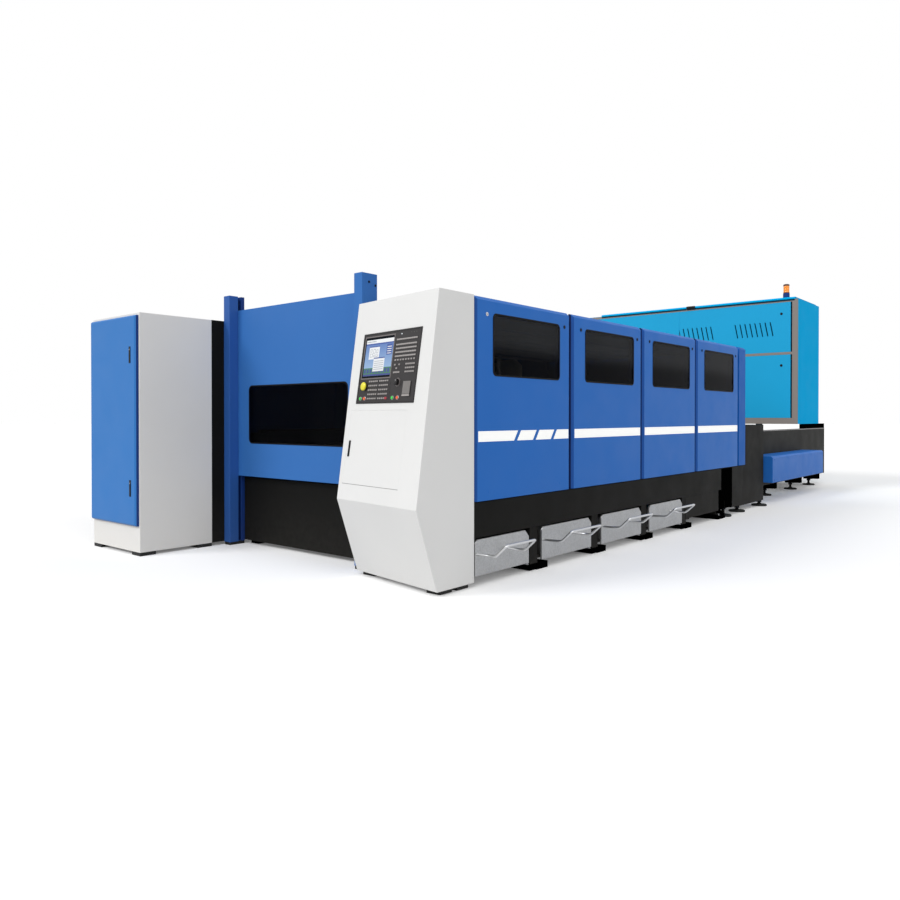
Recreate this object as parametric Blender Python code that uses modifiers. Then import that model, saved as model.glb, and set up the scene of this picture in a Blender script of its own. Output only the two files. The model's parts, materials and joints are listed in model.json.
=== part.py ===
"""Fiber laser cutting machine with a shuttle table and a rear service housing.

Metres, +Z up. The work runs along +Y: the lift door, the operator console and the control
cabinet stand at the front, and the shuttle table and the service housing at the rear.
The drawn frame has X = 0 on the middle of the runway, Y = 0 on the front of the door
guides and Z = 0 on the floor. One empty then carries everything, so that the part's own
origin lies on the floor under the middle of its box.
"""

import math

import bmesh
import bpy
from mathutils import Euler, Matrix, Vector

# Clearances and small values shared by many pieces
SEAT = 0.0003
SHUT_GAP = 0.0008
SLIDE_GAP = 0.004
BITE = 0.004
OVERRUN = 0.02
ROUND_STEPS = 4
TURNED_STEPS = 16
ROD_RESOLUTION = 2

# Enclosure with its row of windowed side doors
ENCLOSURE_WIDTH = 2.842
DOOR_COUNT = 4
DOOR_PITCH = 1.27
DOOR_GAP = 0.05
DOOR_FIRST_Y = 0.10
DOOR_SILL = 0.582
DOOR_HEIGHT = 1.418
DOOR_DEPTH = 0.040
DOOR_SKIN = 0.003
DOOR_RIM = 0.040
DOOR_EDGE_BEVEL = 0.026
WINDOW_WIDTH = 0.874
WINDOW_HEIGHT = 0.437
WINDOW_SIDE = 0.205
WINDOW_SILL = 0.873
WINDOW_RADIUS = 0.032
WINDOW_LAP = 0.022
GLASS = 0.006
FRAME_DEPTH = 0.050
FRAME_STILE = 0.060
FRAME_HEADER = 0.075
ROOF_BELOW_TOP = 0.045
ROOF_SHEET = 0.004
ROOF_RIB_HEIGHT = 0.030
ROOF_RIB_WIDTH = 0.120
ROOF_RIB_SLOPE = 0.020
ROOF_RIBS = 5
WALL_DEPTH = 0.050
WALL_GROOVE = 0.020
WALL_SHEET = 0.004
END_STRIP = 0.215
END_WALL = 0.036
END_SKIN = 0.004
END_RIM = 0.040
END_SLOT_TOP = 1.120
END_SLOT_MARGIN = 0.012

# Guide posts, lift door and the front below it
POST_HEIGHT = 2.264
POST_WIDTH = 0.090
POST_DEPTH = 0.160
POST_FOOT = 0.026
GROOVE_FRONT = 0.092
GROOVE_BITE = 0.050
RIGHT_POST_INSET = 1.0997
LIFT_SILL = 0.628
LIFT_BELOW_POST = 0.128
LIFT_DEPTH = 0.030
LIFT_SKIN = 0.004
LIFT_RIM = 0.060
LIFT_SIDE_PLAY = 0.004
LIFT_WINDOW_LEFT = 0.165
LIFT_WINDOW_RIGHT = 0.1723
LIFT_WINDOW_SILL = 0.300
LIFT_WINDOW_HEIGHT = 0.516
LIFT_WINDOW_RADIUS = 0.040
SPROCKET_RADIUS = 0.030
SPROCKET_ROOT = 0.025
SPROCKET_WALL = 0.008
SPROCKET_TEETH = 12
SPROCKET_WIDTH = 0.012
SPROCKET_BORE = 0.009
SPROCKET_DROP = 0.066
PORTAL_DEPTH = 0.045
PORTAL_SILL = 0.640
PORTAL_LINTEL = 0.140
SKIRT_DEPTH = 0.030
SKIRT_BOTTOM = 0.034
SKIRT_TOP = 0.612
SKIRT_HEM = 0.018
SKIRT_SHEET = 0.004

# Bed with its legs, runways and gantry rails
BED_BOTTOM = 0.330
BED_STEP = 0.577
BED_TOP = 1.020
BED_STEP_INSET = 0.012
BED_WALL_INSET = 0.120
BED_REAR_PLAY = 0.006
RUNWAY_SIDE = 0.365
SHELF_WIDTH = 0.060
SHELF_THICK = 0.012
LOWER_SHELF_TOP = 0.597
UPPER_SHELF_TOP = 0.837
RAIL_WIDTH = 0.034
RAIL_HEIGHT = 0.030
CROSS_BEAM = 0.120
WEB_WIDTH = 0.110
RUNNER_TOP = 0.108
RUNNER_THICK = 0.022
RUNNER_REACH = 0.032
FOOT_LENGTH = 0.150
FOOT_SHIFT = 0.112
FOOT_DEPTH = 0.320
FOOT_HEIGHT = 0.050
LEG_DEPTH = 0.180
LEG_INSET = 0.010
END_LEG_Y = 4.560
END_LEG_LENGTH = 0.210
END_LEG_DEPTH = 0.370
END_BASE_THICK = 0.030
GUSSET_HEIGHT = 0.190
GUSSET_THICK = 0.030
GUSSET_REACH = 0.120
COLUMN_Y = 4.650
COLUMN_LENGTH = 0.330
COLUMN_DEPTH = 0.150
COLUMN_BOTTOM = 0.110
SIDE_PLATE_BOTTOM = 0.100
SIDE_PLATE_THICK = 0.024

# Scrap drawers
DRAWER_COUNT = 4
DRAWER_PITCH = 0.927
DRAWER_WIDTH = 0.750
DRAWER_FIRST_Y = 0.002
DRAWER_CLEAR_CONSOLE = 0.010
DRAWER_DEPTH = 0.900
DRAWER_BOTTOM = 0.072
DRAWER_TOP = 0.321
DRAWER_SHEET = 0.004
DRAWER_FACE = 0.016
DRAWER_FACE_BEVEL = 0.048
DRAWER_TRAY_INSET = 0.034
DRAWER_TRAY_DROP = 0.030
HANDLE_NEAR = 0.028
HANDLE_SPAN = 0.440
HANDLE_ROD = 0.020
HANDLE_LEVEL = 0.222
HANDLE_REACH = 0.157
HANDLE_RISE = 0.085
HANDLE_LEAN = 0.093
HANDLE_BEND = 0.022

# Operator console: a folded housing whose front is turned and leans back
CONSOLE_WIDTH = 0.932
CONSOLE_TOP = 2.000
CONSOLE_TURN = math.radians(10.27)
CONSOLE_LEAN = math.radians(8.72)
CONSOLE_RIGHT_DEPTH = 0.364
CONSOLE_REAR_PLAY = 0.007
CONSOLE_BELLY = 0.579
CONSOLE_UNDERCUT = 0.197
CONSOLE_BOTTOM = 0.032
CONSOLE_SKIN = 0.003
CONSOLE_FOOT = 0.120
CONSOLE_FOOT_INSET = 0.030
PANEL_LEFT = 0.138
PANEL_DROP = 0.245
PANEL_WIDTH = 0.687
PANEL_HEIGHT = 0.505
PANEL_BODY = 0.045
PANEL_BEZEL = 0.003
SCREEN_LEFT_SHARE = 0.045
SCREEN_RIGHT_SHARE = 0.555
SCREEN_TOP_SHARE = 0.060
SCREEN_BOTTOM_SHARE = 0.640
SCREEN_RECESS = 0.004
SCREEN_GLASS = 0.003
KEY_STRIP_HEIGHT = 0.0012
BUTTON_RADIUS = 0.0105
BUTTON_PROUD = 0.008
BUTTON_STEM = 0.018
BUTTON_TRAVEL = 0.004
STOP_RADIUS = 0.030
STOP_NECK = 0.014
STOP_HEAD = 0.018
STOP_STANDOFF = 0.009
STOP_TRAVEL = 0.005
DIAL_RADIUS = 0.022
DIAL_PROUD = 0.020
DIAL_NECK = 0.010
DIAL_GRIPS = 9
DIAL_GRIP_DEPTH = 0.0025
CONSOLE_DOOR_LEFT = 0.085
CONSOLE_DOOR_RIGHT = 0.765
CONSOLE_DOOR_DROP = 0.800
CONSOLE_DOOR_FOOT = 1.322
CONSOLE_DOOR_FLANGE = 0.016
CONSOLE_DOOR_SEAM = 0.003
CONSOLE_LATCH_LEFT = 0.036
CONSOLE_LATCH_DROP = 0.215
CONSOLE_LATCH_LENGTH = 0.115

# Latch levers, which hang in a slot of their door
LATCH_WIDTH = 0.020
LATCH_THICK = 0.010
LATCH_PROUD = 0.004

# Control cabinet and the cable duct behind it
CABINET_WIDTH = 0.832
CABINET_FRONT_Y = -0.805
CABINET_DEPTH = 0.680
CABINET_TOP = 2.038
CABINET_BOTTOM = 0.030
CABINET_SKIN = 0.004
CABINET_STILE = 0.030
CABINET_FOOT = 0.140
CABINET_DOOR_SILL = 0.250
CABINET_DOOR_HEIGHT = 1.765
CABINET_DOOR_DEPTH = 0.034
CABINET_DOOR_SKIN = 0.004
CABINET_DOOR_RIM = 0.030
CABINET_DOOR_BEVEL = 0.014
CABINET_DOOR_REVEAL = 0.014
CABINET_LATCH_SIDE = 0.085
CABINET_LATCH_LENGTH = 0.130
CABINET_LATCH_LOW = 0.250
CABINET_LATCH_HIGH = 1.370
DUCT_WIDTH = 0.240
DUCT_REACH = 0.300
DUCT_SKIN = 0.004

# Gantry, head carriage and cutting head
GANTRY_Y = 2.200
GANTRY_DEPTH = 0.240
GANTRY_HEIGHT = 0.300
GANTRY_BEVEL = 0.050
GANTRY_CORE = 0.020
TRUCK_LENGTH = 0.460
TRUCK_WIDTH = 0.160
TRUCK_HEIGHT = 0.090
TRUCK_SKIRT = 0.022
TRUCK_PLAY = 0.0008
GUIDE_BAR = 0.024
GUIDE_BAR_PROUD = 0.018
GUIDE_BAR_MARGIN = 0.045
CARRIAGE_X = 0.300
CARRIAGE_WIDTH = 0.300
CARRIAGE_DEPTH = 0.120
CARRIAGE_BELOW = 0.020
CARRIAGE_ABOVE = 0.280
CARRIAGE_BEVEL = 0.060
HEAD_PLATE_WIDTH = 0.110
HEAD_PLATE_THICK = 0.024
HEAD_PLATE_BOTTOM = 1.260
HEAD_PLATE_HEIGHT = 0.300
HEAD_RADIUS = 0.045
HEAD_TOP = 1.600
HEAD_WAIST = 1.300
HEAD_WAIST_RADIUS = 0.036
NOZZLE_TOP = 1.190
NOZZLE_RADIUS = 0.024
NOZZLE_TIP = 1.105
NOZZLE_TIP_RADIUS = 0.007
COLLIMATOR_RADIUS = 0.026
COLLIMATOR_TOP = 1.720

# Pallets with serrated support slats
PALLET_LENGTH = 3.800
PALLET_SIDE_PLAY = 0.008
PALLET_RAIL = 0.062
PALLET_HEIGHT = 0.080
PALLET_CROSS_TIES = 2
PALLET_TIE = 0.050
SLAT_COUNT = 16
SLAT_THICK = 0.006
SLAT_HEIGHT = 0.095
SLAT_RISE = 0.075
SLAT_TEETH = 6
SLAT_TOOTH = 0.018
PALLET_INSIDE_Y = 0.900

# Shuttle table
BRIDGE_LENGTH = 0.905
BRIDGE_TOP = 1.062
BRIDGE_BOTTOM = 0.074
BRIDGE_OUTER_INSET = 0.075
BRIDGE_SKIN = 0.012
SHUTTLE_LENGTH = 3.890
SHUTTLE_WALL = 0.060
SHUTTLE_TOP = 0.976
SHUTTLE_BOTTOM = 0.200
SHUTTLE_SKIN = 0.010
CROSS_TIE = 0.080
LEVEL_PAD_RADIUS = 0.075
LEVEL_PAD_HEIGHT = 0.022
LEVEL_STEM_RADIUS = 0.018
LEVEL_CONE = 0.020
LEVEL_INSET = 0.120
DRIVE_Y = 6.440
DRIVE_LENGTH = 2.460
DRIVE_BOTTOM = 0.290
DRIVE_HEIGHT = 0.350
DRIVE_BEVEL = 0.020
DRIVE_SKIN = 0.004

# Rear service housing on its supports
HOUSING_FRONT_Y = 8.660
HOUSING_WIDTH = 3.900
HOUSING_DEPTH = 1.170
HOUSING_BOTTOM = 1.050
HOUSING_TOP = 3.020
HOUSING_POST = 0.090
HOUSING_TUBE = 0.060
HOUSING_SILL_RAIL = 0.095
HOUSING_HEAD_RAIL = 0.040
HOUSING_MID_RAIL = 0.040
HOUSING_MID_LEVEL = 2.150
HOUSING_MULLION = 0.050
HOUSING_SPLIT = 1.950
HOUSING_SKIN = 0.004
HOUSING_PAN = 0.020
HOUSING_DOOR_GAP = 0.022
HOUSING_RIM = 0.020
BRACKET_SIDE = 0.560
BRACKET_WIDTH = 0.090
BRACKET_DROP = 0.070
LOUVRE_COUNT = 8
LOUVRE_PITCH = 0.080
LOUVRE_WIDTH = 0.018
LOUVRE_HEIGHT = 0.225
LOUVRE_SLANT = 0.045
LOUVRE_SILL = 0.265
LOUVRE_FIRST = 0.375
LOUVRE_SECOND = 1.345
LID_THICK = 0.034
LID_OVERHANG = 0.012
LID_SPLIT = 1.818
LID_LENGTH = 3.455
LID_END = 0.050
SUPPORT_START = 0.270
SUPPORT_WIDTH = 0.056
STAND_POST = 0.100
STAND_PLATE = 0.020
STAND_PLATE_WIDTH = 0.190
BEACON_RADIUS = 0.058
BEACON_BASE = 0.085
BEACON_DOME = 0.145
BEACON_SIDE = 0.220
BEACON_BACK = 0.130

# Places worked out from the sizes above
RIGHT = ENCLOSURE_WIDTH / 2
LEFT = -RIGHT
DOOR_WIDTH = DOOR_PITCH - DOOR_GAP
DOOR_TOP = DOOR_SILL + DOOR_HEIGHT
DOORS_END_Y = DOOR_FIRST_Y + DOOR_COUNT * DOOR_PITCH
ENCLOSURE_END_Y = DOORS_END_Y + END_STRIP
FRAME_OUTER = RIGHT - DOOR_DEPTH - SEAT
FRAME_INNER = FRAME_OUTER - FRAME_DEPTH
FRAME_BOTTOM = BED_STEP + SEAT
ROOF_SEAT = DOOR_TOP - ROOF_BELOW_TOP
PORTAL_Y = POST_DEPTH + SEAT
PORTAL_BACK_Y = PORTAL_Y + PORTAL_DEPTH
BED_FRONT_Y = PORTAL_BACK_Y + SEAT
BED_END_Y = ENCLOSURE_END_Y - END_WALL - BED_REAR_PLAY
RUNWAY = RIGHT - RUNWAY_SIDE
SHUTTLE_HALF = RUNWAY + SHUTTLE_WALL
RIGHT_POST_LEFT = RIGHT - RIGHT_POST_INSET
CONSOLE_LEFT = RIGHT - CONSOLE_WIDTH
CONSOLE_REAR_Y = DOOR_FIRST_Y - CONSOLE_REAR_PLAY
CONSOLE_FRONT_RIGHT_Y = CONSOLE_REAR_Y - CONSOLE_RIGHT_DEPTH
CONSOLE_FRONT_LEFT_Y = CONSOLE_FRONT_RIGHT_Y + CONSOLE_WIDTH * math.tan(CONSOLE_TURN)
LIFT_HEIGHT = POST_HEIGHT - LIFT_BELOW_POST - LIFT_SILL
CABINET_RIGHT = LEFT
CABINET_LEFT = CABINET_RIGHT - CABINET_WIDTH
CABINET_REAR_Y = CABINET_FRONT_Y + CABINET_DEPTH
BRIDGE_Y = ENCLOSURE_END_Y + SEAT
BRIDGE_END_Y = BRIDGE_Y + BRIDGE_LENGTH
SHUTTLE_Y = BRIDGE_END_Y + SEAT
SHUTTLE_END_Y = SHUTTLE_Y + SHUTTLE_LENGTH
PALLET_SHUTTLE_Y = SHUTTLE_Y + (SHUTTLE_LENGTH - PALLET_LENGTH) / 2
HOUSING_RIGHT = SHUTTLE_HALF
HOUSING_LEFT = HOUSING_RIGHT - HOUSING_WIDTH
HOUSING_REAR_Y = HOUSING_FRONT_Y + HOUSING_DEPTH
HANDLE_OUT = RIGHT + HANDLE_REACH + HANDLE_LEAN + HANDLE_ROD / 2

# The part's origin: on the floor, under the middle of its box
ORIGIN_X = (HANDLE_OUT + HOUSING_LEFT) / 2
ORIGIN_Y = (SHUTTLE_END_Y + CABINET_FRONT_Y - CABINET_DOOR_DEPTH - SEAT - LATCH_PROUD) / 2


# Scene and materials

def clear_scene():
    """Remove whatever the file starts with."""
    for thing in list(bpy.data.objects):
        bpy.data.objects.remove(thing, do_unlink=True)


def paint(name, red, green, blue, roughness, metallic=0.0):
    """A plain Principled material."""
    material = bpy.data.materials.new(name)
    material.use_nodes = True
    shader = material.node_tree.nodes["Principled BSDF"]
    shader.inputs["Base Color"].default_value = (red, green, blue, 1.0)
    shader.inputs["Roughness"].default_value = roughness
    shader.inputs["Metallic"].default_value = metallic
    material.diffuse_color = (red, green, blue, 1.0)
    return material


def new_collection(name):
    """A collection linked to the scene."""
    collection = bpy.data.collections.new(name)
    bpy.context.scene.collection.children.link(collection)
    return collection


def new_empty(name, place, parent=None, turn=(0.0, 0.0, 0.0)):
    """An empty that carries other objects."""
    empty = bpy.data.objects.new(name, None)
    MODEL.objects.link(empty)
    empty.parent = parent
    empty.location = place
    empty.rotation_euler = turn
    return empty


# Shapes: each helper returns an object whose mesh lies in the drawn frame

def as_object(mesh):
    """Wrap a mesh so that modifiers can work on it."""
    shape = bpy.data.objects.new("shape", mesh)
    bpy.context.scene.collection.objects.link(shape)
    return shape


def from_bmesh(bm):
    """Close a bmesh into an object with its faces pointing out."""
    bmesh.ops.recalc_face_normals(bm, faces=bm.faces)
    mesh = bpy.data.meshes.new("shape")
    bm.to_mesh(mesh)
    bm.free()
    return as_object(mesh)


def evaluated_mesh(shape):
    """The shape's mesh with its modifiers, or its curve, applied."""
    bpy.context.view_layer.update()
    graph = bpy.context.evaluated_depsgraph_get()
    return bpy.data.meshes.new_from_object(shape.evaluated_get(graph), depsgraph=graph)


def bake(shape, weld=SEAT / 10):
    """Replace a curve, or a mesh with modifiers, by a plain welded mesh."""
    mesh = evaluated_mesh(shape)
    matrix = shape.matrix_world.copy()
    bpy.data.objects.remove(shape, do_unlink=True)
    bm = bmesh.new()
    bm.from_mesh(mesh)
    bpy.data.meshes.remove(mesh)
    bmesh.ops.transform(bm, matrix=matrix, verts=bm.verts)
    bmesh.ops.remove_doubles(bm, verts=bm.verts, dist=weld)
    return from_bmesh(bm)


def bar(low, high):
    """A block between two corners."""
    low = Vector(low)
    high = Vector(high)
    bm = bmesh.new()
    bmesh.ops.create_cube(bm, size=1.0)
    bmesh.ops.scale(bm, vec=high - low, verts=bm.verts)
    bmesh.ops.translate(bm, vec=(low + high) / 2, verts=bm.verts)
    return from_bmesh(bm)


def rectangle(low_a, low_b, high_a, high_b):
    """The four corners of an upright rectangle."""
    return [(low_a, low_b), (high_a, low_b), (high_a, high_b), (low_a, high_b)]


def rounded(low_a, low_b, high_a, high_b, radius):
    """A rectangle with round corners."""
    corners = [(high_a - radius, high_b - radius, 0), (low_a + radius, high_b - radius, 1),
               (low_a + radius, low_b + radius, 2), (high_a - radius, low_b + radius, 3)]
    points = []
    for centre_a, centre_b, quarter in corners:
        for step in range(ROUND_STEPS + 1):
            angle = (quarter + step / ROUND_STEPS) * math.pi / 2
            points.append((centre_a + radius * math.cos(angle), centre_b + radius * math.sin(angle)))
    return points


AXIS_FRAMES = {
    "X": Matrix(((0, 0, 1, 0), (1, 0, 0, 0), (0, 1, 0, 0), (0, 0, 0, 1))),
    "Y": Matrix(((1, 0, 0, 0), (0, 0, -1, 0), (0, 1, 0, 0), (0, 0, 0, 1))),
    "Z": Matrix.Identity(4),
}
AXIS_VECTORS = {"X": Vector((1, 0, 0)), "Y": Vector((0, 1, 0)), "Z": Vector((0, 0, 1))}


def prism(axis, low, high, outline, holes=()):
    """A flat outline with holes, drawn square to an axis and extruded between two places.

    Outlines are (y, z) along X, (x, z) along Y and (x, y) along Z.
    """
    curve = bpy.data.curves.new("outline", "CURVE")
    curve.dimensions = "2D"
    curve.fill_mode = "BOTH"
    curve.extrude = (high - low) / 2
    for points in (outline, *holes):
        spline = curve.splines.new("POLY")
        spline.points.add(len(points) - 1)
        for point, (a, b) in zip(spline.points, points):
            point.co = (a, b, 0.0, 1.0)
        spline.use_cyclic_u = True
    shape = as_object(curve)
    middle = AXIS_VECTORS[axis] * ((low + high) / 2)
    shape.matrix_world = Matrix.Translation(middle) @ AXIS_FRAMES[axis]
    return bake(shape)


def rod(points, diameter):
    """A round bar along a path."""
    curve = bpy.data.curves.new("rod", "CURVE")
    curve.dimensions = "3D"
    curve.bevel_depth = diameter / 2
    curve.bevel_resolution = ROD_RESOLUTION
    curve.use_fill_caps = True
    spline = curve.splines.new("POLY")
    spline.points.add(len(points) - 1)
    for point, place in zip(spline.points, points):
        point.co = (*place, 1.0)
    return bake(as_object(curve))


def bent(points, radius):
    """Round the inner corners of a path, each with one short arc."""
    path = [Vector(points[0])]
    for before, corner, after in zip(points, points[1:], points[2:]):
        corner = Vector(corner)
        inward = (Vector(before) - corner).normalized()
        onward = (Vector(after) - corner).normalized()
        for step in range(ROUND_STEPS):
            share = step / (ROUND_STEPS - 1)
            start = corner + inward * radius * (1 - share)
            end = corner + onward * radius * share
            path.append(start.lerp(end, share))
    path.append(Vector(points[-1]))
    return path


def turned(profile, place, direction=(0.0, 0.0, 1.0), steps=TURNED_STEPS):
    """Revolve (radius, height) points, listed from the top down, round an axis."""
    mesh = bpy.data.meshes.new("profile")
    points = [(radius, 0.0, height) for radius, height in profile]
    mesh.from_pydata(points, [(i, i + 1) for i in range(len(points) - 1)], [])
    shape = as_object(mesh)
    screw = shape.modifiers.new("Turn", "SCREW")
    screw.steps = steps
    screw.render_steps = steps
    screw.use_merge_vertices = True
    screw.merge_threshold = SEAT / 10
    turn = Vector((0, 0, 1)).rotation_difference(Vector(direction)).to_matrix().to_4x4()
    shape.matrix_world = Matrix.Translation(place) @ turn
    return bake(shape)


def boolean(base, tools, operation):
    """Join tools to a base, or cut them out of it."""
    for tool in tools:
        modifier = base.modifiers.new("Boolean", "BOOLEAN")
        modifier.operation = operation
        modifier.solver = "EXACT"
        modifier.object = tool
    result = bake(base)
    for tool in tools:
        bpy.data.objects.remove(tool, do_unlink=True)
    return result


def join(base, *tools):
    """One solid from several that bite into each other."""
    return boolean(base, tools, "UNION")


def cut(base, *tools):
    """The base with the tools' shapes taken out."""
    return boolean(base, tools, "DIFFERENCE")


def slice_off(shape, point, normal):
    """Plane away what lies on the normal's side of a point."""
    bm = bmesh.new()
    bm.from_mesh(shape.data)
    bpy.data.objects.remove(shape, do_unlink=True)
    geometry = list(bm.verts) + list(bm.edges) + list(bm.faces)
    bmesh.ops.bisect_plane(bm, geom=geometry, plane_co=point, plane_no=normal, clear_outer=True)
    bmesh.ops.holes_fill(bm, edges=[edge for edge in bm.edges if edge.is_boundary])
    return from_bmesh(bm)


def moved(shape, matrix):
    """Carry a shape to another place."""
    shape.data.transform(matrix)
    return shape


def copy_of(shape):
    """A second object with its own mesh."""
    return as_object(shape.data.copy())


def mirrored(shape):
    """The same shape on the other side of X = 0."""
    bm = bmesh.new()
    bm.from_mesh(shape.data)
    bmesh.ops.scale(bm, vec=(-1.0, 1.0, 1.0), verts=bm.verts)
    bmesh.ops.reverse_faces(bm, faces=bm.faces)
    return from_bmesh(bm)


def node(name, shape, material, parent=None, pivot=None, smooth=False):
    """Name a finished solid, give it its finish and hang it on what carries it."""
    mesh = shape.data
    bpy.data.objects.remove(shape, do_unlink=True)
    carrier = parent or MACHINE
    if pivot is None:
        low = Vector(map(min, zip(*(vertex.co for vertex in mesh.vertices))))
        high = Vector(map(max, zip(*(vertex.co for vertex in mesh.vertices))))
        pivot = (low + high) / 2
    mesh.transform(Matrix.Translation(-Vector(pivot)))
    mesh.materials.append(material)
    if smooth:
        mesh.shade_smooth()
        mesh.set_sharp_from_angle(angle=math.radians(30))
    thing = bpy.data.objects.new(name, mesh)
    MODEL.objects.link(thing)
    thing.parent = carrier
    thing.location = Vector(pivot) - drawn_place(carrier)
    return thing


def drawn_place(carrier):
    """Where an unturned empty stands in the drawn frame."""
    return Vector((0, 0, 0)) if carrier is MACHINE else carrier.location.copy()


# Shared details

def level_foot(x, y, bottom):
    """A round levelling pad on its threaded stem, up into the frame above it."""
    profile = [(0.0, bottom + BITE), (LEVEL_STEM_RADIUS, bottom + BITE),
               (LEVEL_STEM_RADIUS, LEVEL_PAD_HEIGHT + LEVEL_CONE),
               (LEVEL_PAD_RADIUS * 0.5, LEVEL_PAD_HEIGHT),
               (LEVEL_PAD_RADIUS, LEVEL_PAD_HEIGHT * 0.5),
               (LEVEL_PAD_RADIUS, 0.0), (0.0, 0.0)]
    return turned(profile, (x, y, 0.0), steps=12)


def runway_outline(outside):
    """The right-hand wall of the runway as (x, z) points, closed by its two shelves.

    The outside runs from the inner bottom corner round to the inner top corner.
    """
    shelf = RUNWAY - SHELF_WIDTH
    points = list(outside)
    for level in (UPPER_SHELF_TOP, LOWER_SHELF_TOP):
        points += [(RUNWAY, level), (shelf, level), (shelf, level - SHELF_THICK),
                   (RUNWAY, level - SHELF_THICK)]
    return points


# Enclosure

def door_near_y(index):
    """The near edge of a side door, where it is hinged."""
    return DOOR_FIRST_Y + index * DOOR_PITCH


def side_door_shape():
    """A folded pan with a bevelled hinge edge and top, and its window cut out."""
    pan = bar((RIGHT - DOOR_DEPTH, DOOR_FIRST_Y, DOOR_SILL),
              (RIGHT, DOOR_FIRST_Y + DOOR_WIDTH, DOOR_TOP))
    edge = (RIGHT - DOOR_EDGE_BEVEL / 2, DOOR_FIRST_Y + DOOR_EDGE_BEVEL / 2, DOOR_SILL)
    pan = slice_off(pan, edge, (1, -1, 0))
    top = (RIGHT - DOOR_EDGE_BEVEL / 2, DOOR_FIRST_Y, DOOR_TOP - DOOR_EDGE_BEVEL / 2)
    pan = slice_off(pan, top, (1, 0, 1))
    pocket = bar((RIGHT - DOOR_DEPTH - OVERRUN, DOOR_FIRST_Y + DOOR_RIM, DOOR_SILL + DOOR_RIM),
                 (RIGHT - DOOR_SKIN, DOOR_FIRST_Y + DOOR_WIDTH - DOOR_RIM, DOOR_TOP - DOOR_RIM))
    low_y = DOOR_FIRST_Y + WINDOW_SIDE
    low_z = DOOR_SILL + WINDOW_SILL
    window = prism("X", RIGHT - DOOR_DEPTH, RIGHT + OVERRUN,
                   rounded(low_y, low_z, low_y + WINDOW_WIDTH, low_z + WINDOW_HEIGHT,
                           WINDOW_RADIUS))
    return cut(pan, pocket, window)


def side_window_shape():
    """A tinted pane held behind the door's skin."""
    low_y = DOOR_FIRST_Y + WINDOW_SIDE - WINDOW_LAP
    low_z = DOOR_SILL + WINDOW_SILL - WINDOW_LAP
    front = RIGHT - DOOR_SKIN - SEAT
    return prism("X", front - GLASS, front,
                 rounded(low_y, low_z, low_y + WINDOW_WIDTH + 2 * WINDOW_LAP,
                         low_z + WINDOW_HEIGHT + 2 * WINDOW_LAP, WINDOW_RADIUS + WINDOW_LAP))


def build_side_doors():
    """The row of doors, each hinged on its near edge, and their windows."""
    door = side_door_shape()
    window = side_window_shape()
    for index in range(DOOR_COUNT):
        step = Matrix.Translation((0, index * DOOR_PITCH, 0))
        hinge = new_empty(f"side_door_{index + 1}_hinge",
                          (RIGHT, door_near_y(index), DOOR_SILL), MACHINE)
        node(f"side_door_{index + 1}", moved(copy_of(door), step), DOOR_BLUE, hinge,
             hinge.location)
        node(f"side_window_{index + 1}", moved(copy_of(window), step), TINTED_GLASS, hinge)
    bpy.data.objects.remove(door, do_unlink=True)
    bpy.data.objects.remove(window, do_unlink=True)


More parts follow.
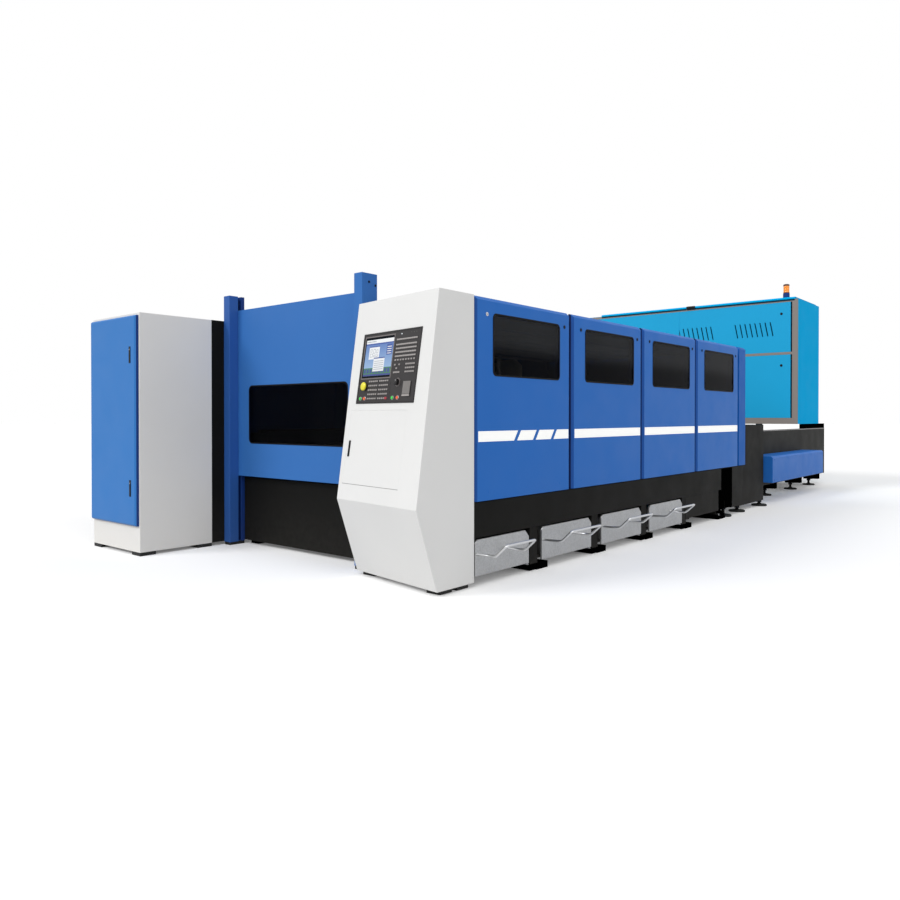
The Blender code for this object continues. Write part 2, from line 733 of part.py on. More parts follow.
def build_enclosure():
    """The right-hand frame behind the doors, the left wall, the roof and the rear wall."""
    frame_end = ENCLOSURE_END_Y - END_WALL - SEAT
    holes = []
    for index in range(DOOR_COUNT):
        near = max(door_near_y(index), BED_FRONT_Y) + FRAME_STILE
        far = door_near_y(index) + DOOR_WIDTH - FRAME_STILE
        holes.append(rectangle(near, DOOR_SILL + FRAME_STILE, far, DOOR_TOP - FRAME_HEADER
                               - ROOF_BELOW_TOP))
    outline = rectangle(BED_FRONT_Y, FRAME_BOTTOM, frame_end, ROOF_SEAT)
    node("enclosure_frame", prism("X", FRAME_INNER, FRAME_OUTER, outline, holes), DARK_BLUE)

    sheet = WALL_SHEET
    flange = LEFT + WALL_DEPTH
    outside = [(flange, BED_FRONT_Y), (LEFT, BED_FRONT_Y)]
    inside = [(flange, BED_FRONT_Y + sheet), (LEFT + sheet, BED_FRONT_Y + sheet)]
    for index in range(1, DOOR_COUNT):
        near = door_near_y(index)
        groove = LEFT + WALL_GROOVE
        outside += [(LEFT, near - DOOR_GAP), (groove, near - DOOR_GAP), (groove, near),
                    (LEFT, near)]
        inside += [(LEFT + sheet, near - DOOR_GAP - sheet),
                   (groove + sheet, near - DOOR_GAP - sheet), (groove + sheet, near + sheet),
                   (LEFT + sheet, near + sheet)]
    outside += [(LEFT, frame_end), (flange, frame_end)]
    inside += [(LEFT + sheet, frame_end - sheet), (flange, frame_end - sheet)]
    node("left_wall", prism("Z", FRAME_BOTTOM, ROOF_SEAT, outside + inside[::-1]), DOOR_BLUE)

    low = ROOF_SEAT + SEAT
    pitch = (FRAME_OUTER - LEFT) / ROOF_RIBS
    top = [(LEFT, low + ROOF_SHEET)]
    bottom = [(LEFT, low)]
    for index in range(ROOF_RIBS):
        centre = LEFT + (index + 0.5) * pitch
        half = ROOF_RIB_WIDTH / 2
        for offset, lift in ((-half, 0), (-half + ROOF_RIB_SLOPE, ROOF_RIB_HEIGHT),
                             (half - ROOF_RIB_SLOPE, ROOF_RIB_HEIGHT), (half, 0)):
            top.append((centre + offset, low + ROOF_SHEET + lift))
            bottom.append((centre + offset, low + lift))
    top.append((FRAME_OUTER, low + ROOF_SHEET))
    bottom.append((FRAME_OUTER, low))
    node("roof_panel", prism("Y", BED_FRONT_Y, frame_end, bottom + top[::-1]), DOOR_BLUE)

    slot = RUNWAY + END_SLOT_MARGIN
    outline = [(LEFT, DOOR_SILL), (-slot, DOOR_SILL), (-slot, END_SLOT_TOP), (slot, END_SLOT_TOP),
               (slot, DOOR_SILL), (RIGHT, DOOR_SILL), (RIGHT, DOOR_TOP), (LEFT, DOOR_TOP)]
    wall = prism("Y", ENCLOSURE_END_Y - END_WALL, ENCLOSURE_END_Y, outline)
    rim = END_RIM
    low = DOOR_SILL + rim
    high = DOOR_TOP - rim
    side = RIGHT - DOOR_DEPTH - rim
    outline = [(LEFT + rim, low), (-slot - rim, low), (-slot - rim, END_SLOT_TOP + rim),
               (slot + rim, END_SLOT_TOP + rim), (slot + rim, low), (side, low), (side, high),
               (LEFT + rim, high)]
    wall = cut(wall, prism("Y", ENCLOSURE_END_Y - END_WALL - OVERRUN, ENCLOSURE_END_Y - END_SKIN,
                           outline))
    strip = bar((RIGHT - DOOR_DEPTH, DOORS_END_Y, DOOR_SILL),
                (RIGHT, ENCLOSURE_END_Y - BITE, DOOR_TOP))
    wall = join(wall, strip)
    wall = slice_off(wall, (RIGHT - DOOR_EDGE_BEVEL / 2, 0, DOOR_TOP - DOOR_EDGE_BEVEL / 2),
                     (1, 0, 1))
    node("end_panel", wall, DOOR_BLUE)


# Guide posts, lift door and the front of the machine

def post_outline(inner, groove):
    """A folded channel seen from above; the groove opens towards the lift door."""
    outer = inner - math.copysign(POST_WIDTH, groove)
    back = GROOVE_FRONT + LIFT_DEPTH + 2 * SHUT_GAP
    bottom = inner - groove
    return [(outer, 0.0), (inner, 0.0), (inner, GROOVE_FRONT), (bottom, GROOVE_FRONT),
            (bottom, back), (inner, back), (inner, POST_DEPTH), (outer, POST_DEPTH)]


def sprocket_outline():
    """Teeth round a pitch circle, centred on the post's groove."""
    centre_y = GROOVE_FRONT + SHUT_GAP + LIFT_DEPTH / 2
    centre_z = POST_HEIGHT - SPROCKET_DROP
    points = []
    for tooth in range(SPROCKET_TEETH):
        for share, radius in ((0.0, SPROCKET_ROOT), (0.3, SPROCKET_ROOT), (0.5, SPROCKET_RADIUS),
                              (0.8, SPROCKET_RADIUS)):
            angle = 2 * math.pi * (tooth + share) / SPROCKET_TEETH
            points.append((centre_y + radius * math.cos(angle),
                           centre_z + radius * math.sin(angle)))
    return points


def ring_points(centre_a, centre_b, radius, steps=TURNED_STEPS):
    """A circle as an outline."""
    return [(centre_a + radius * math.cos(2 * math.pi * i / steps),
             centre_b + radius * math.sin(2 * math.pi * i / steps)) for i in range(steps)]


def build_post(side, inner, towards):
    """One guide post with its chain sprocket in a pocket beside the door's path."""
    groove = towards * GROOVE_BITE
    outer = inner - towards * POST_WIDTH
    post = prism("Z", POST_FOOT, POST_HEIGHT, post_outline(inner, groove))
    centre_y = GROOVE_FRONT + SHUT_GAP + LIFT_DEPTH / 2
    centre_z = POST_HEIGHT - SPROCKET_DROP
    reach = SPROCKET_RADIUS + SLIDE_GAP
    deep = outer + towards * SPROCKET_WALL
    groove_floor = inner - groove
    low_x = min(deep, groove_floor + towards * BITE)
    high_x = max(deep, groove_floor + towards * BITE)
    pocket = bar((low_x, centre_y - reach, centre_z - reach),
                 (high_x, centre_y + reach, centre_z + reach))
    post = cut(post, pocket)
    axle_end = deep + towards * (SPROCKET_WIDTH + SPROCKET_WALL)
    axle = prism("X", min(deep - towards * BITE / 2, axle_end),
                 max(deep - towards * BITE / 2, axle_end),
                 ring_points(centre_y, centre_z, SPROCKET_BORE))
    foot = bar((min(inner, outer) + BITE, BITE, 0.0),
               (max(inner, outer) - BITE, POST_DEPTH - BITE, POST_FOOT + BITE))
    node(f"guide_post_{side}", join(post, axle, foot), DARK_BLUE)

    start = deep + towards * SEAT
    end = start + towards * SPROCKET_WIDTH
    wheel = prism("X", min(start, end), max(start, end), sprocket_outline(),
                  [ring_points(centre_y, centre_z, SPROCKET_BORE + SEAT)])
    pivot = ((start + end) / 2, centre_y, centre_z)
    shaft = new_empty(f"sprocket_{side}_axis", pivot, MACHINE)
    node(f"chain_sprocket_{side}", wheel, BRIGHT_STEEL, shaft, pivot)


def build_lift_door():
    """The lifting front door: a folded pan in the grooves of both posts, with its window."""
    left = LEFT + POST_WIDTH - GROOVE_BITE + LIFT_SIDE_PLAY
    right = RIGHT_POST_LEFT + GROOVE_BITE - LIFT_SIDE_PLAY
    front = GROOVE_FRONT + SHUT_GAP
    back = front + LIFT_DEPTH
    top = LIFT_SILL + LIFT_HEIGHT
    pan = bar((left, front, LIFT_SILL), (right, back, top))
    pocket = bar((left + LIFT_RIM, front + LIFT_SKIN, LIFT_SILL + LIFT_RIM),
                 (right - LIFT_RIM, back + OVERRUN, top - LIFT_RIM))
    low_x = LEFT + POST_WIDTH + LIFT_WINDOW_LEFT
    low_z = LIFT_SILL + LIFT_WINDOW_SILL
    high_x = RIGHT_POST_LEFT - LIFT_WINDOW_RIGHT
    high_z = low_z + LIFT_WINDOW_HEIGHT
    window = prism("Y", front - OVERRUN, back,
                   rounded(low_x, low_z, high_x, high_z, LIFT_WINDOW_RADIUS))
    slide = new_empty("lift_door_slide", (left, front, LIFT_SILL), MACHINE)
    node("lift_door", cut(pan, pocket, window), DOOR_BLUE, slide)
    lap = WINDOW_LAP
    pane = prism("Y", front + LIFT_SKIN + SEAT, front + LIFT_SKIN + SEAT + GLASS,
                 rounded(low_x - lap, low_z - lap, high_x + lap, high_z + lap,
                         LIFT_WINDOW_RADIUS + lap))
    node("lift_window", pane, TINTED_GLASS, slide)


def build_front():
    """The portal behind the lift door and the black skirt below it."""
    outline = rectangle(LEFT, PORTAL_SILL, FRAME_OUTER, DOOR_TOP)
    hole = rectangle(LEFT + POST_WIDTH, PORTAL_SILL + CABINET_STILE, RIGHT_POST_LEFT,
                     DOOR_TOP - PORTAL_LINTEL)
    node("front_portal", prism("Y", PORTAL_Y, PORTAL_BACK_Y, outline, [hole]), DARK_BLUE)

    left = LEFT + SKIRT_SHEET
    right = CONSOLE_LEFT - SKIRT_SHEET
    plate = bar((left, PORTAL_Y, SKIRT_BOTTOM), (right, PORTAL_Y + SKIRT_DEPTH, SKIRT_TOP))
    pocket = bar((left + SKIRT_HEM, PORTAL_Y + SKIRT_SHEET, SKIRT_BOTTOM + SKIRT_HEM),
                 (right - SKIRT_HEM, PORTAL_Y + SKIRT_DEPTH + OVERRUN, SKIRT_TOP - SKIRT_HEM))
    node("front_skirt", cut(plate, pocket), BED_BLACK)


# Bed

def drawer_gap_y(index):
    """The middle of the gap before a drawer; the last index is after the last drawer."""
    return DRAWER_FIRST_Y + index * DRAWER_PITCH - (DRAWER_PITCH - DRAWER_WIDTH) / 2


def cross_wall(index, half_length):
    """A web across the bed between two drawers, with a flange that the trays run on."""
    middle = drawer_gap_y(index)
    web = WEB_WIDTH / 2
    flange = (DRAWER_PITCH - DRAWER_WIDTH) / 2 + DRAWER_TRAY_INSET + RUNNER_REACH
    low = RUNNER_TOP - RUNNER_THICK
    high = BED_BOTTOM + RUNNER_REACH
    outline = [(middle - flange, low), (middle + flange, low), (middle + flange, RUNNER_TOP),
               (middle + web, RUNNER_TOP), (middle + web, high), (middle - web, high),
               (middle - web, RUNNER_TOP), (middle - flange, RUNNER_TOP)]
    return prism("X", -half_length, half_length, outline)


def mirrored_pair(shape):
    """A shape and its copy on the other side of the machine."""
    return [mirrored(shape), shape]


def build_bed():
    """The welded bed: side beams with runways and gantry rails, cross walls, legs and feet."""
    step = RIGHT - BED_STEP_INSET
    wall = RIGHT - BED_WALL_INSET
    rail = GANTRY_RAIL_X
    half_rail = RAIL_WIDTH / 2
    rail_top = BED_TOP + RAIL_HEIGHT
    outside = [(RUNWAY, BED_STEP - BITE), (wall, BED_STEP - BITE), (wall, BED_TOP),
               (rail + half_rail, BED_TOP), (rail + half_rail, rail_top),
               (rail - half_rail, rail_top), (rail - half_rail, BED_TOP), (RUNWAY, BED_TOP)]
    upper = prism("Y", BED_FRONT_Y, BED_END_Y - BITE, runway_outline(outside))
    pieces = mirrored_pair(upper)
    beam = bar((RUNWAY - BITE, CONSOLE_REAR_Y + SEAT, BED_BOTTOM), (step, BED_END_Y, BED_STEP))
    pieces.append(bar((-step, BED_FRONT_Y, BED_BOTTOM), (-RUNWAY + BITE, BED_END_Y, BED_STEP)))
    for y in (BED_FRONT_Y + BITE, BED_END_Y - CROSS_BEAM - BITE):
        pieces.append(bar((-RUNWAY - BITE, y, BED_BOTTOM + BITE),
                          (RUNWAY + BITE, y + CROSS_BEAM, BED_STEP - BITE)))
    hanger_y = FIRST_DRAWER_Y + SHUT_GAP
    pieces.append(bar((CONSOLE_LEFT, hanger_y, BED_BOTTOM + BITE),
                      (RUNWAY + BITE, BED_FRONT_Y + CROSS_BEAM / 2, BED_STEP - BITE)))
    low = RUNNER_TOP - RUNNER_THICK
    web = hanger_y + DRAWER_TRAY_INSET - SHUT_GAP - SLIDE_GAP
    flange = hanger_y + DRAWER_TRAY_INSET + RUNNER_REACH
    outline = [(hanger_y, low), (flange, low), (flange, RUNNER_TOP), (web, RUNNER_TOP),
               (web, BED_BOTTOM + RUNNER_REACH), (hanger_y, BED_BOTTOM + RUNNER_REACH)]
    pieces.append(prism("X", CONSOLE_LEFT, RIGHT - DRAWER_FACE - SLIDE_GAP, outline))
    for index in range(1, DRAWER_COUNT + 1):
        middle = drawer_gap_y(index)
        pieces.append(cross_wall(index, step - LEG_INSET))
        leg = bar((step - LEG_DEPTH, middle - WEB_WIDTH / 2 + BITE, BITE),
                  (step - LEG_INSET / 2, middle + WEB_WIDTH / 2 - BITE, BED_BOTTOM + BITE))
        foot_y = middle + FOOT_SHIFT - FOOT_LENGTH / 2
        foot = bar((step - FOOT_DEPTH, foot_y, 0.0), (step, foot_y + FOOT_LENGTH, FOOT_HEIGHT))
        pieces += mirrored_pair(leg) + mirrored_pair(foot)
    for x in (-step + FOOT_DEPTH / 2, CONSOLE_LEFT - FOOT_DEPTH / 2):
        pieces.append(bar((x - WEB_WIDTH / 2, BED_FRONT_Y + BITE, 0.0),
                          (x + WEB_WIDTH / 2, BED_FRONT_Y + CROSS_BEAM - BITE,
                           BED_BOTTOM + RUNNER_REACH)))
    base = bar((step - END_LEG_DEPTH, END_LEG_Y, 0.0),
               (step, END_LEG_Y + END_LEG_LENGTH, END_BASE_THICK))
    leg = bar((step - END_LEG_DEPTH + BITE, END_LEG_Y + GUSSET_THICK, BITE),
              (step - GUSSET_REACH, END_LEG_Y + END_LEG_LENGTH - BITE, BED_BOTTOM + BITE))
    pieces += mirrored_pair(base) + mirrored_pair(leg)
    for y in (END_LEG_Y + BITE, END_LEG_Y + END_LEG_LENGTH - GUSSET_THICK - 2 * BITE):
        outline = [(step - GUSSET_REACH - BITE, BITE), (step - BITE, BITE),
                   (step - BITE, END_BASE_THICK + BITE),
                   (step - GUSSET_REACH - BITE, GUSSET_HEIGHT)]
        pieces += mirrored_pair(prism("Y", y, y + GUSSET_THICK, outline))
    column = bar((step - COLUMN_DEPTH, COLUMN_Y, COLUMN_BOTTOM),
                 (step - LEG_INSET, COLUMN_Y + COLUMN_LENGTH, BED_BOTTOM + BITE))
    pad = level_foot(step - COLUMN_DEPTH / 2, COLUMN_Y + COLUMN_LENGTH - LEVEL_PAD_RADIUS,
                     COLUMN_BOTTOM)
    pieces += mirrored_pair(column) + mirrored_pair(pad)
    plate_x = step - LEG_INSET - SIDE_PLATE_THICK
    for near, far in ((drawer_gap_y(DRAWER_COUNT) + WEB_WIDTH / 2 - 2 * BITE, END_LEG_Y + GUSSET_THICK / 2),
                      (COLUMN_Y + COLUMN_LENGTH - BITE, BED_END_Y - BITE)):
        plate = bar((plate_x, near, SIDE_PLATE_BOTTOM), (step - BITE, far, BED_BOTTOM + BITE))
        pieces += mirrored_pair(plate)
    node("bed_frame", join(beam, *pieces), BED_BLACK)


# Scrap drawers

def drawer_places(index):
    """Near and far edge of a drawer's face, and of its handle."""
    far = DRAWER_FIRST_Y + index * DRAWER_PITCH + DRAWER_WIDTH
    near = max(far - DRAWER_WIDTH, FIRST_DRAWER_Y)
    handle_far = far - DRAWER_WIDTH + HANDLE_NEAR + HANDLE_SPAN
    handle_near = max(handle_far - HANDLE_SPAN, near + HANDLE_BEND)
    return near, far, handle_near, handle_far


def build_drawer(index):
    """A folded scrap tray with a chamfered face and a bent rod welded on as its handle."""
    near, far, handle_near, handle_far = drawer_places(index)
    bevel = DRAWER_FACE_BEVEL
    outline = [(near, DRAWER_BOTTOM), (far, DRAWER_BOTTOM), (far, DRAWER_TOP - bevel),
               (far - bevel, DRAWER_TOP), (near + bevel / 2, DRAWER_TOP),
               (near, DRAWER_TOP - bevel / 2)]
    face = prism("X", RIGHT - DRAWER_FACE, RIGHT, outline)
    tray_near = near + DRAWER_TRAY_INSET
    tray_far = far - DRAWER_TRAY_INSET
    tray_low = RUNNER_TOP + SEAT
    tray = bar((RIGHT - DRAWER_DEPTH, tray_near, tray_low),
               (RIGHT - DRAWER_FACE + BITE, tray_far, DRAWER_TOP - DRAWER_TRAY_DROP))
    hollow = bar((RIGHT - DRAWER_DEPTH + DRAWER_SHEET, tray_near + DRAWER_SHEET,
                  tray_low + DRAWER_SHEET),
                 (RIGHT - DRAWER_FACE, tray_far - DRAWER_SHEET, DRAWER_TOP))
    tray = cut(tray, hollow)
    root = RIGHT - DRAWER_FACE / 2
    elbow = RIGHT + HANDLE_REACH
    grip = elbow + HANDLE_LEAN
    rise = HANDLE_LEVEL + HANDLE_RISE
    path = [(root, handle_near, HANDLE_LEVEL), (elbow, handle_near, HANDLE_LEVEL),
            (grip, handle_near, rise), (grip, handle_far, rise),
            (elbow, handle_far, HANDLE_LEVEL), (root, handle_far, HANDLE_LEVEL)]
    handle = rod(bent(path, HANDLE_BEND), HANDLE_ROD)
    slide = new_empty(f"drawer_{index + 1}_slide", (RIGHT, near, DRAWER_BOTTOM), MACHINE)
    node(f"scrap_drawer_{index + 1}", join(face, tray, handle), GALVANISED, slide,
         slide.location)


# Operator console

def console_solid(inset):
    """The console's faceted body, or the same body shrunk by a wall on every side."""
    low_y = CONSOLE_REAR_Y - CONSOLE_RIGHT_DEPTH - CONSOLE_WIDTH
    body = bar((CONSOLE_LEFT + inset, low_y, CONSOLE_BOTTOM + inset),
               (RIGHT - inset, CONSOLE_REAR_Y - inset, CONSOLE_TOP - inset))
    outward = FACE_TURN @ Vector((0, -1, 0))
    body = slice_off(body, Vector(FACE_CORNER) - outward * inset, outward)
    level = Vector((outward.x, outward.y, 0)).normalized()
    undercut = math.atan2(CONSOLE_UNDERCUT * math.cos(CONSOLE_TURN),
                          CONSOLE_BELLY - CONSOLE_BOTTOM)
    below = level * math.cos(undercut) - Vector((0, 0, math.sin(undercut)))
    setback = (CONSOLE_TOP - CONSOLE_BELLY) * math.tan(CONSOLE_LEAN) / math.cos(CONSOLE_TURN)
    belly = Vector((RIGHT, CONSOLE_FRONT_RIGHT_Y - setback, CONSOLE_BELLY))
    return slice_off(body, belly - below * inset, below)


def on_face(shape):
    """Carry a shape drawn flat onto the console's leaning front.

    It is drawn with x to the right, z up from the front's top left corner and y inwards.
    """
    return moved(shape, FACE_MATRIX)


def on_panel(x_share, z_share):
    """A place on the control panel, in shares from its top left corner."""
    return (PANEL_LEFT + x_share * PANEL_WIDTH, -PANEL_DROP - z_share * PANEL_HEIGHT)


def face_node(name, shape, material, carrier, pivot):
    """A piece of the console's front, turned by its parent and drawn flat about its pivot."""
    mesh = shape.data
    bpy.data.objects.remove(shape, do_unlink=True)
    mesh.transform(Matrix.Translation(-Vector(pivot)))
    mesh.materials.append(material)
    thing = bpy.data.objects.new(name, mesh)
    MODEL.objects.link(thing)
    thing.parent = carrier
    thing.location = Vector(pivot)
    return thing


def push_button(name, x_share, z_share, material):
    """A small round button on a stem in the panel's blind hole; returns the hole's cutter."""
    x, z = on_panel(x_share, z_share)
    front = -PANEL_BEZEL
    top = -front + BUTTON_PROUD
    bottom = -front - BUTTON_STEM
    crown = BUTTON_RADIUS * CROWN_SHARE
    profile = [(0.0, top), (crown, top), (BUTTON_RADIUS, top - BUTTON_RADIUS + crown),
               (BUTTON_RADIUS, bottom), (0.0, bottom)]
    face_node(name, turned(profile, (x, 0, z), (0, -1, 0)), material, FACE, (x, front, z))
    return prism("Y", front - OVERRUN, front + BUTTON_STEM + BUTTON_TRAVEL + SLIDE_GAP,
                 ring_points(x, z, BUTTON_RADIUS + SEAT))


def build_panel():
    """The control panel with its screen, key strips, buttons and override dial."""
    front = -PANEL_BEZEL
    low_x, high_z = on_panel(0, 0)
    high_x, low_z = on_panel(1, 1)
    body = bar((low_x, front, low_z), (high_x, PANEL_BODY, high_z))
    screen_low = on_panel(SCREEN_LEFT_SHARE, SCREEN_BOTTOM_SHARE)
    screen_high = on_panel(SCREEN_RIGHT_SHARE, SCREEN_TOP_SHARE)
    recess = front + SCREEN_RECESS
    cutters = [bar((screen_low[0], front - OVERRUN, screen_low[1]),
                   (screen_high[0], recess, screen_high[1]))]
    glass = bar((screen_low[0] + SEAT, recess - SEAT - SCREEN_GLASS, screen_low[1] + SEAT),
                (screen_high[0] - SEAT, recess - SEAT, screen_high[1] - SEAT))
    face_node("display", glass, SCREEN, FACE, (screen_low[0], recess, screen_low[1]))

    for name, x_share, z_share, material in BUTTON_SHARES:
        cutters.append(push_button(name, x_share, z_share, material))

    x, z = on_panel(*STOP_SHARES)
    lift = -front + STOP_STANDOFF
    profile = [(0.0, lift + STOP_HEAD), (STOP_RADIUS * CROWN_SHARE, lift + STOP_HEAD),
               (STOP_RADIUS, lift + STOP_HEAD * (1 - CROWN_SHARE / 2)), (STOP_RADIUS, lift),
               (STOP_NECK, lift), (STOP_NECK, -front - BUTTON_STEM), (0.0, -front - BUTTON_STEM)]
    face_node("emergency_stop", turned(profile, (x, 0, z), (0, -1, 0)), STOP_YELLOW, FACE,
              (x, front, z))
    cutters.append(prism("Y", front - OVERRUN, front + BUTTON_STEM + STOP_TRAVEL + SLIDE_GAP,
                         ring_points(x, z, STOP_NECK + SEAT)))

    x, z = on_panel(*DIAL_SHARES)
    rim = []
    for grip in range(DIAL_GRIPS):
        for share, radius in ((0.0, DIAL_RADIUS), (0.5, DIAL_RADIUS),
                              (0.75, DIAL_RADIUS - DIAL_GRIP_DEPTH)):
            angle = 2 * math.pi * (grip + share) / DIAL_GRIPS
            rim.append((x + radius * math.cos(angle), z + radius * math.sin(angle)))
    knob = prism("Y", front - DIAL_PROUD, front - SHUT_GAP, rim)
    neck = prism("Y", front - DIAL_PROUD / 2, front + BUTTON_STEM, ring_points(x, z, DIAL_NECK))
    face_node("override_dial", join(knob, neck), BED_BLACK, FACE, (x, front, z))
    cutters.append(prism("Y", front - OVERRUN, front + BUTTON_STEM + SHUT_GAP,
                         ring_points(x, z, DIAL_NECK + SEAT)))

    strips = []
    for left, top, right, bottom in KEY_STRIP_SHARES:
        x0, z1 = on_panel(left, top)
        x1, z0 = on_panel(right, bottom)
        strips.append(bar((x0, front - KEY_STRIP_HEIGHT, z0), (x1, front + BITE, z1)))
    panel = cut(join(body, *strips), *cutters)
    face_node("control_panel", panel, PANEL_GREY, FACE, (low_x, front, low_z))


def latch_shape(axis_x, top, length, front):
    """A lever that hangs in its slot, with a round head about its pin, drawn flat."""
    radius = LATCH_THICK / 2
    centre = front - LATCH_PROUD + radius
    points = [(centre - radius, top - length), (centre + radius, top - length)]
    for step in range(2 * ROUND_STEPS + 1):
        angle = math.pi * step / (2 * ROUND_STEPS)
        points.append((centre + radius * math.cos(angle), top - radius + radius * math.sin(angle)))
    lever = prism("X", axis_x - LATCH_WIDTH / 2, axis_x + LATCH_WIDTH / 2, points)
    pivot = (axis_x, centre, top - radius)
    slot = bar((axis_x - LATCH_WIDTH / 2 - SEAT, front - OVERRUN, top - length - SEAT),
               (axis_x + LATCH_WIDTH / 2 + SEAT, front + OVERRUN, top + SEAT))
    return lever, slot, pivot


def build_console():
    """The console's folded housing, its service door with a latch, and its panel."""
    feet = []
    for x in (CONSOLE_LEFT + CONSOLE_FOOT_INSET, RIGHT - CONSOLE_FOOT_INSET - CONSOLE_FOOT):
        setback = (RIGHT - x) * math.tan(CONSOLE_TURN)
        for y in (CONSOLE_FRONT_RIGHT_Y + setback + CONSOLE_FOOT_INSET / 2,
                  CONSOLE_REAR_Y - CONSOLE_FOOT_INSET - CONSOLE_FOOT):
            feet.append(bar((x, y, 0.0),
                            (x + CONSOLE_FOOT, y + CONSOLE_FOOT, CONSOLE_BOTTOM + BITE / 2)))
    low_x, high_z = on_panel(0, 0)
    high_x, low_z = on_panel(1, 1)
    panel_hole = bar((low_x - SEAT, -OVERRUN, low_z - SEAT),
                     (high_x + SEAT, OVERRUN, high_z + SEAT))
    door_low = (CONSOLE_DOOR_LEFT, -CONSOLE_DOOR_FOOT)
    door_high = (CONSOLE_DOOR_RIGHT, -CONSOLE_DOOR_DROP)
    seam = CONSOLE_DOOR_SEAM
    door_hole = bar((door_low[0] - seam, -OVERRUN, door_low[1] - seam),
                    (door_high[0] + SHUT_GAP, OVERRUN, door_high[1] + seam))
    housing = cut(console_solid(0.0), console_solid(CONSOLE_SKIN), on_face(panel_hole),
                  on_face(door_hole))
    node("console_housing", join(housing, *feet), CONSOLE_WHITE)

    hinge_place = (CONSOLE_DOOR_RIGHT, 0.0, -CONSOLE_DOOR_FOOT)
    hinge = new_empty("console_door_hinge", hinge_place, FACE)
    door = bar((door_low[0], 0.0, door_low[1]), (door_high[0], CONSOLE_DOOR_FLANGE, door_high[1]))
    rim = CONSOLE_DOOR_FLANGE
    pocket = bar((door_low[0] + rim, CONSOLE_SKIN, door_low[1] + rim),
                 (door_high[0] - rim, CONSOLE_DOOR_FLANGE + OVERRUN, door_high[1] - rim))
    lever, slot, pin = latch_shape(CONSOLE_DOOR_LEFT + CONSOLE_LATCH_LEFT,
                                   -CONSOLE_DOOR_DROP - CONSOLE_LATCH_DROP,
                                   CONSOLE_LATCH_LENGTH, 0.0)
    door = cut(door, pocket, slot)
    face_node("console_door", moved(door, Matrix.Translation(-Vector(hinge_place))),
              CONSOLE_WHITE, hinge, (0, 0, 0))
    offset = Vector(pin) - Vector(hinge_place)
    face_node("console_latch", moved(lever, Matrix.Translation(-Vector(hinge_place))),
              LATCH_BLACK, hinge, offset)
    build_panel()


# Control cabinet

def build_cabinet():
    """The cabinet's shell, its door with two latches, and the duct to the machine."""
    rear = CABINET_REAR_Y
    shell = bar((CABINET_LEFT, CABINET_FRONT_Y, CABINET_BOTTOM),
                (CABINET_RIGHT, rear, CABINET_TOP))
    floor = CABINET_DOOR_SILL + CABINET_STILE / 2
    hollow = bar((CABINET_LEFT + CABINET_SKIN, CABINET_FRONT_Y + CABINET_SKIN, floor),
                 (CABINET_RIGHT - CABINET_SKIN, rear - CABINET_SKIN, CABINET_TOP - CABINET_SKIN))
    plinth = bar((CABINET_LEFT + CABINET_SKIN, CABINET_FRONT_Y + CABINET_SKIN,
                  CABINET_BOTTOM - OVERRUN),
                 (CABINET_RIGHT - CABINET_SKIN, rear - CABINET_SKIN, floor - CABINET_SKIN))
    mouth = bar((CABINET_LEFT + CABINET_STILE, CABINET_FRONT_Y - OVERRUN, floor + CABINET_STILE),
                (CABINET_RIGHT - CABINET_STILE, CABINET_FRONT_Y + OVERRUN,
                 CABINET_TOP - CABINET_STILE * 2))
    shell = cut(shell, hollow, plinth, mouth)
    feet = []
    inset = CABINET_SKIN / 2
    for x in (CABINET_LEFT + inset, CABINET_RIGHT - inset - CABINET_FOOT):
        for y in (CABINET_FRONT_Y + inset, rear - inset - CABINET_FOOT):
            feet.append(bar((x, y, 0.0),
                            (x + CABINET_FOOT, y + CABINET_FOOT, CABINET_BOTTOM + BITE)))
    node("cabinet_body", join(shell, *feet), CONSOLE_WHITE)

    left = CABINET_LEFT + CABINET_DOOR_REVEAL
    right = CABINET_RIGHT - CABINET_DOOR_REVEAL
    back = CABINET_FRONT_Y - SEAT
    front = back - CABINET_DOOR_DEPTH
    low = CABINET_DOOR_SILL
    high = low + CABINET_DOOR_HEIGHT
    door = bar((left, front, low), (right, back, high))
    half = CABINET_DOOR_BEVEL / 2
    door = slice_off(door, (left + half, front + half, low), (-1, -1, 0))
    door = slice_off(door, (right - half, front + half, low), (1, -1, 0))
    door = slice_off(door, (left, front + half, high - half), (0, -1, 1))
    door = slice_off(door, (left, front + half, low + half), (0, -1, -1))
    rim = CABINET_DOOR_RIM
    pocket = bar((left + rim, front + CABINET_DOOR_SKIN, low + rim),
                 (right - rim, back + OVERRUN, high - rim))
    hinge = new_empty("cabinet_door_hinge", (left, front, low), MACHINE)
    slots = []
    for name, rise in (("upper", CABINET_LATCH_HIGH), ("lower", CABINET_LATCH_LOW)):
        lever, slot, pin = latch_shape(right - CABINET_LATCH_SIDE,
                                       low + rise + CABINET_LATCH_LENGTH,
                                       CABINET_LATCH_LENGTH, front)
        slots.append(slot)
        node(f"cabinet_latch_{name}", lever, LATCH_BLACK, hinge, pin)
    node("cabinet_door", cut(door, pocket, *slots), DOOR_BLUE, hinge, hinge.location)

    inner = LEFT - SEAT
    duct = bar((inner - DUCT_WIDTH, rear + SEAT, CABINET_BOTTOM), (inner, DUCT_REACH, CABINET_TOP))
    hollow = bar((inner - DUCT_WIDTH + DUCT_SKIN, rear + SEAT + DUCT_SKIN,
                  CABINET_BOTTOM - OVERRUN),
                 (inner - DUCT_SKIN, DUCT_REACH - DUCT_SKIN, CABINET_TOP - DUCT_SKIN))
    node("cable_duct", cut(duct, hollow), BED_BLACK)


# Gantry, carriage and cutting head

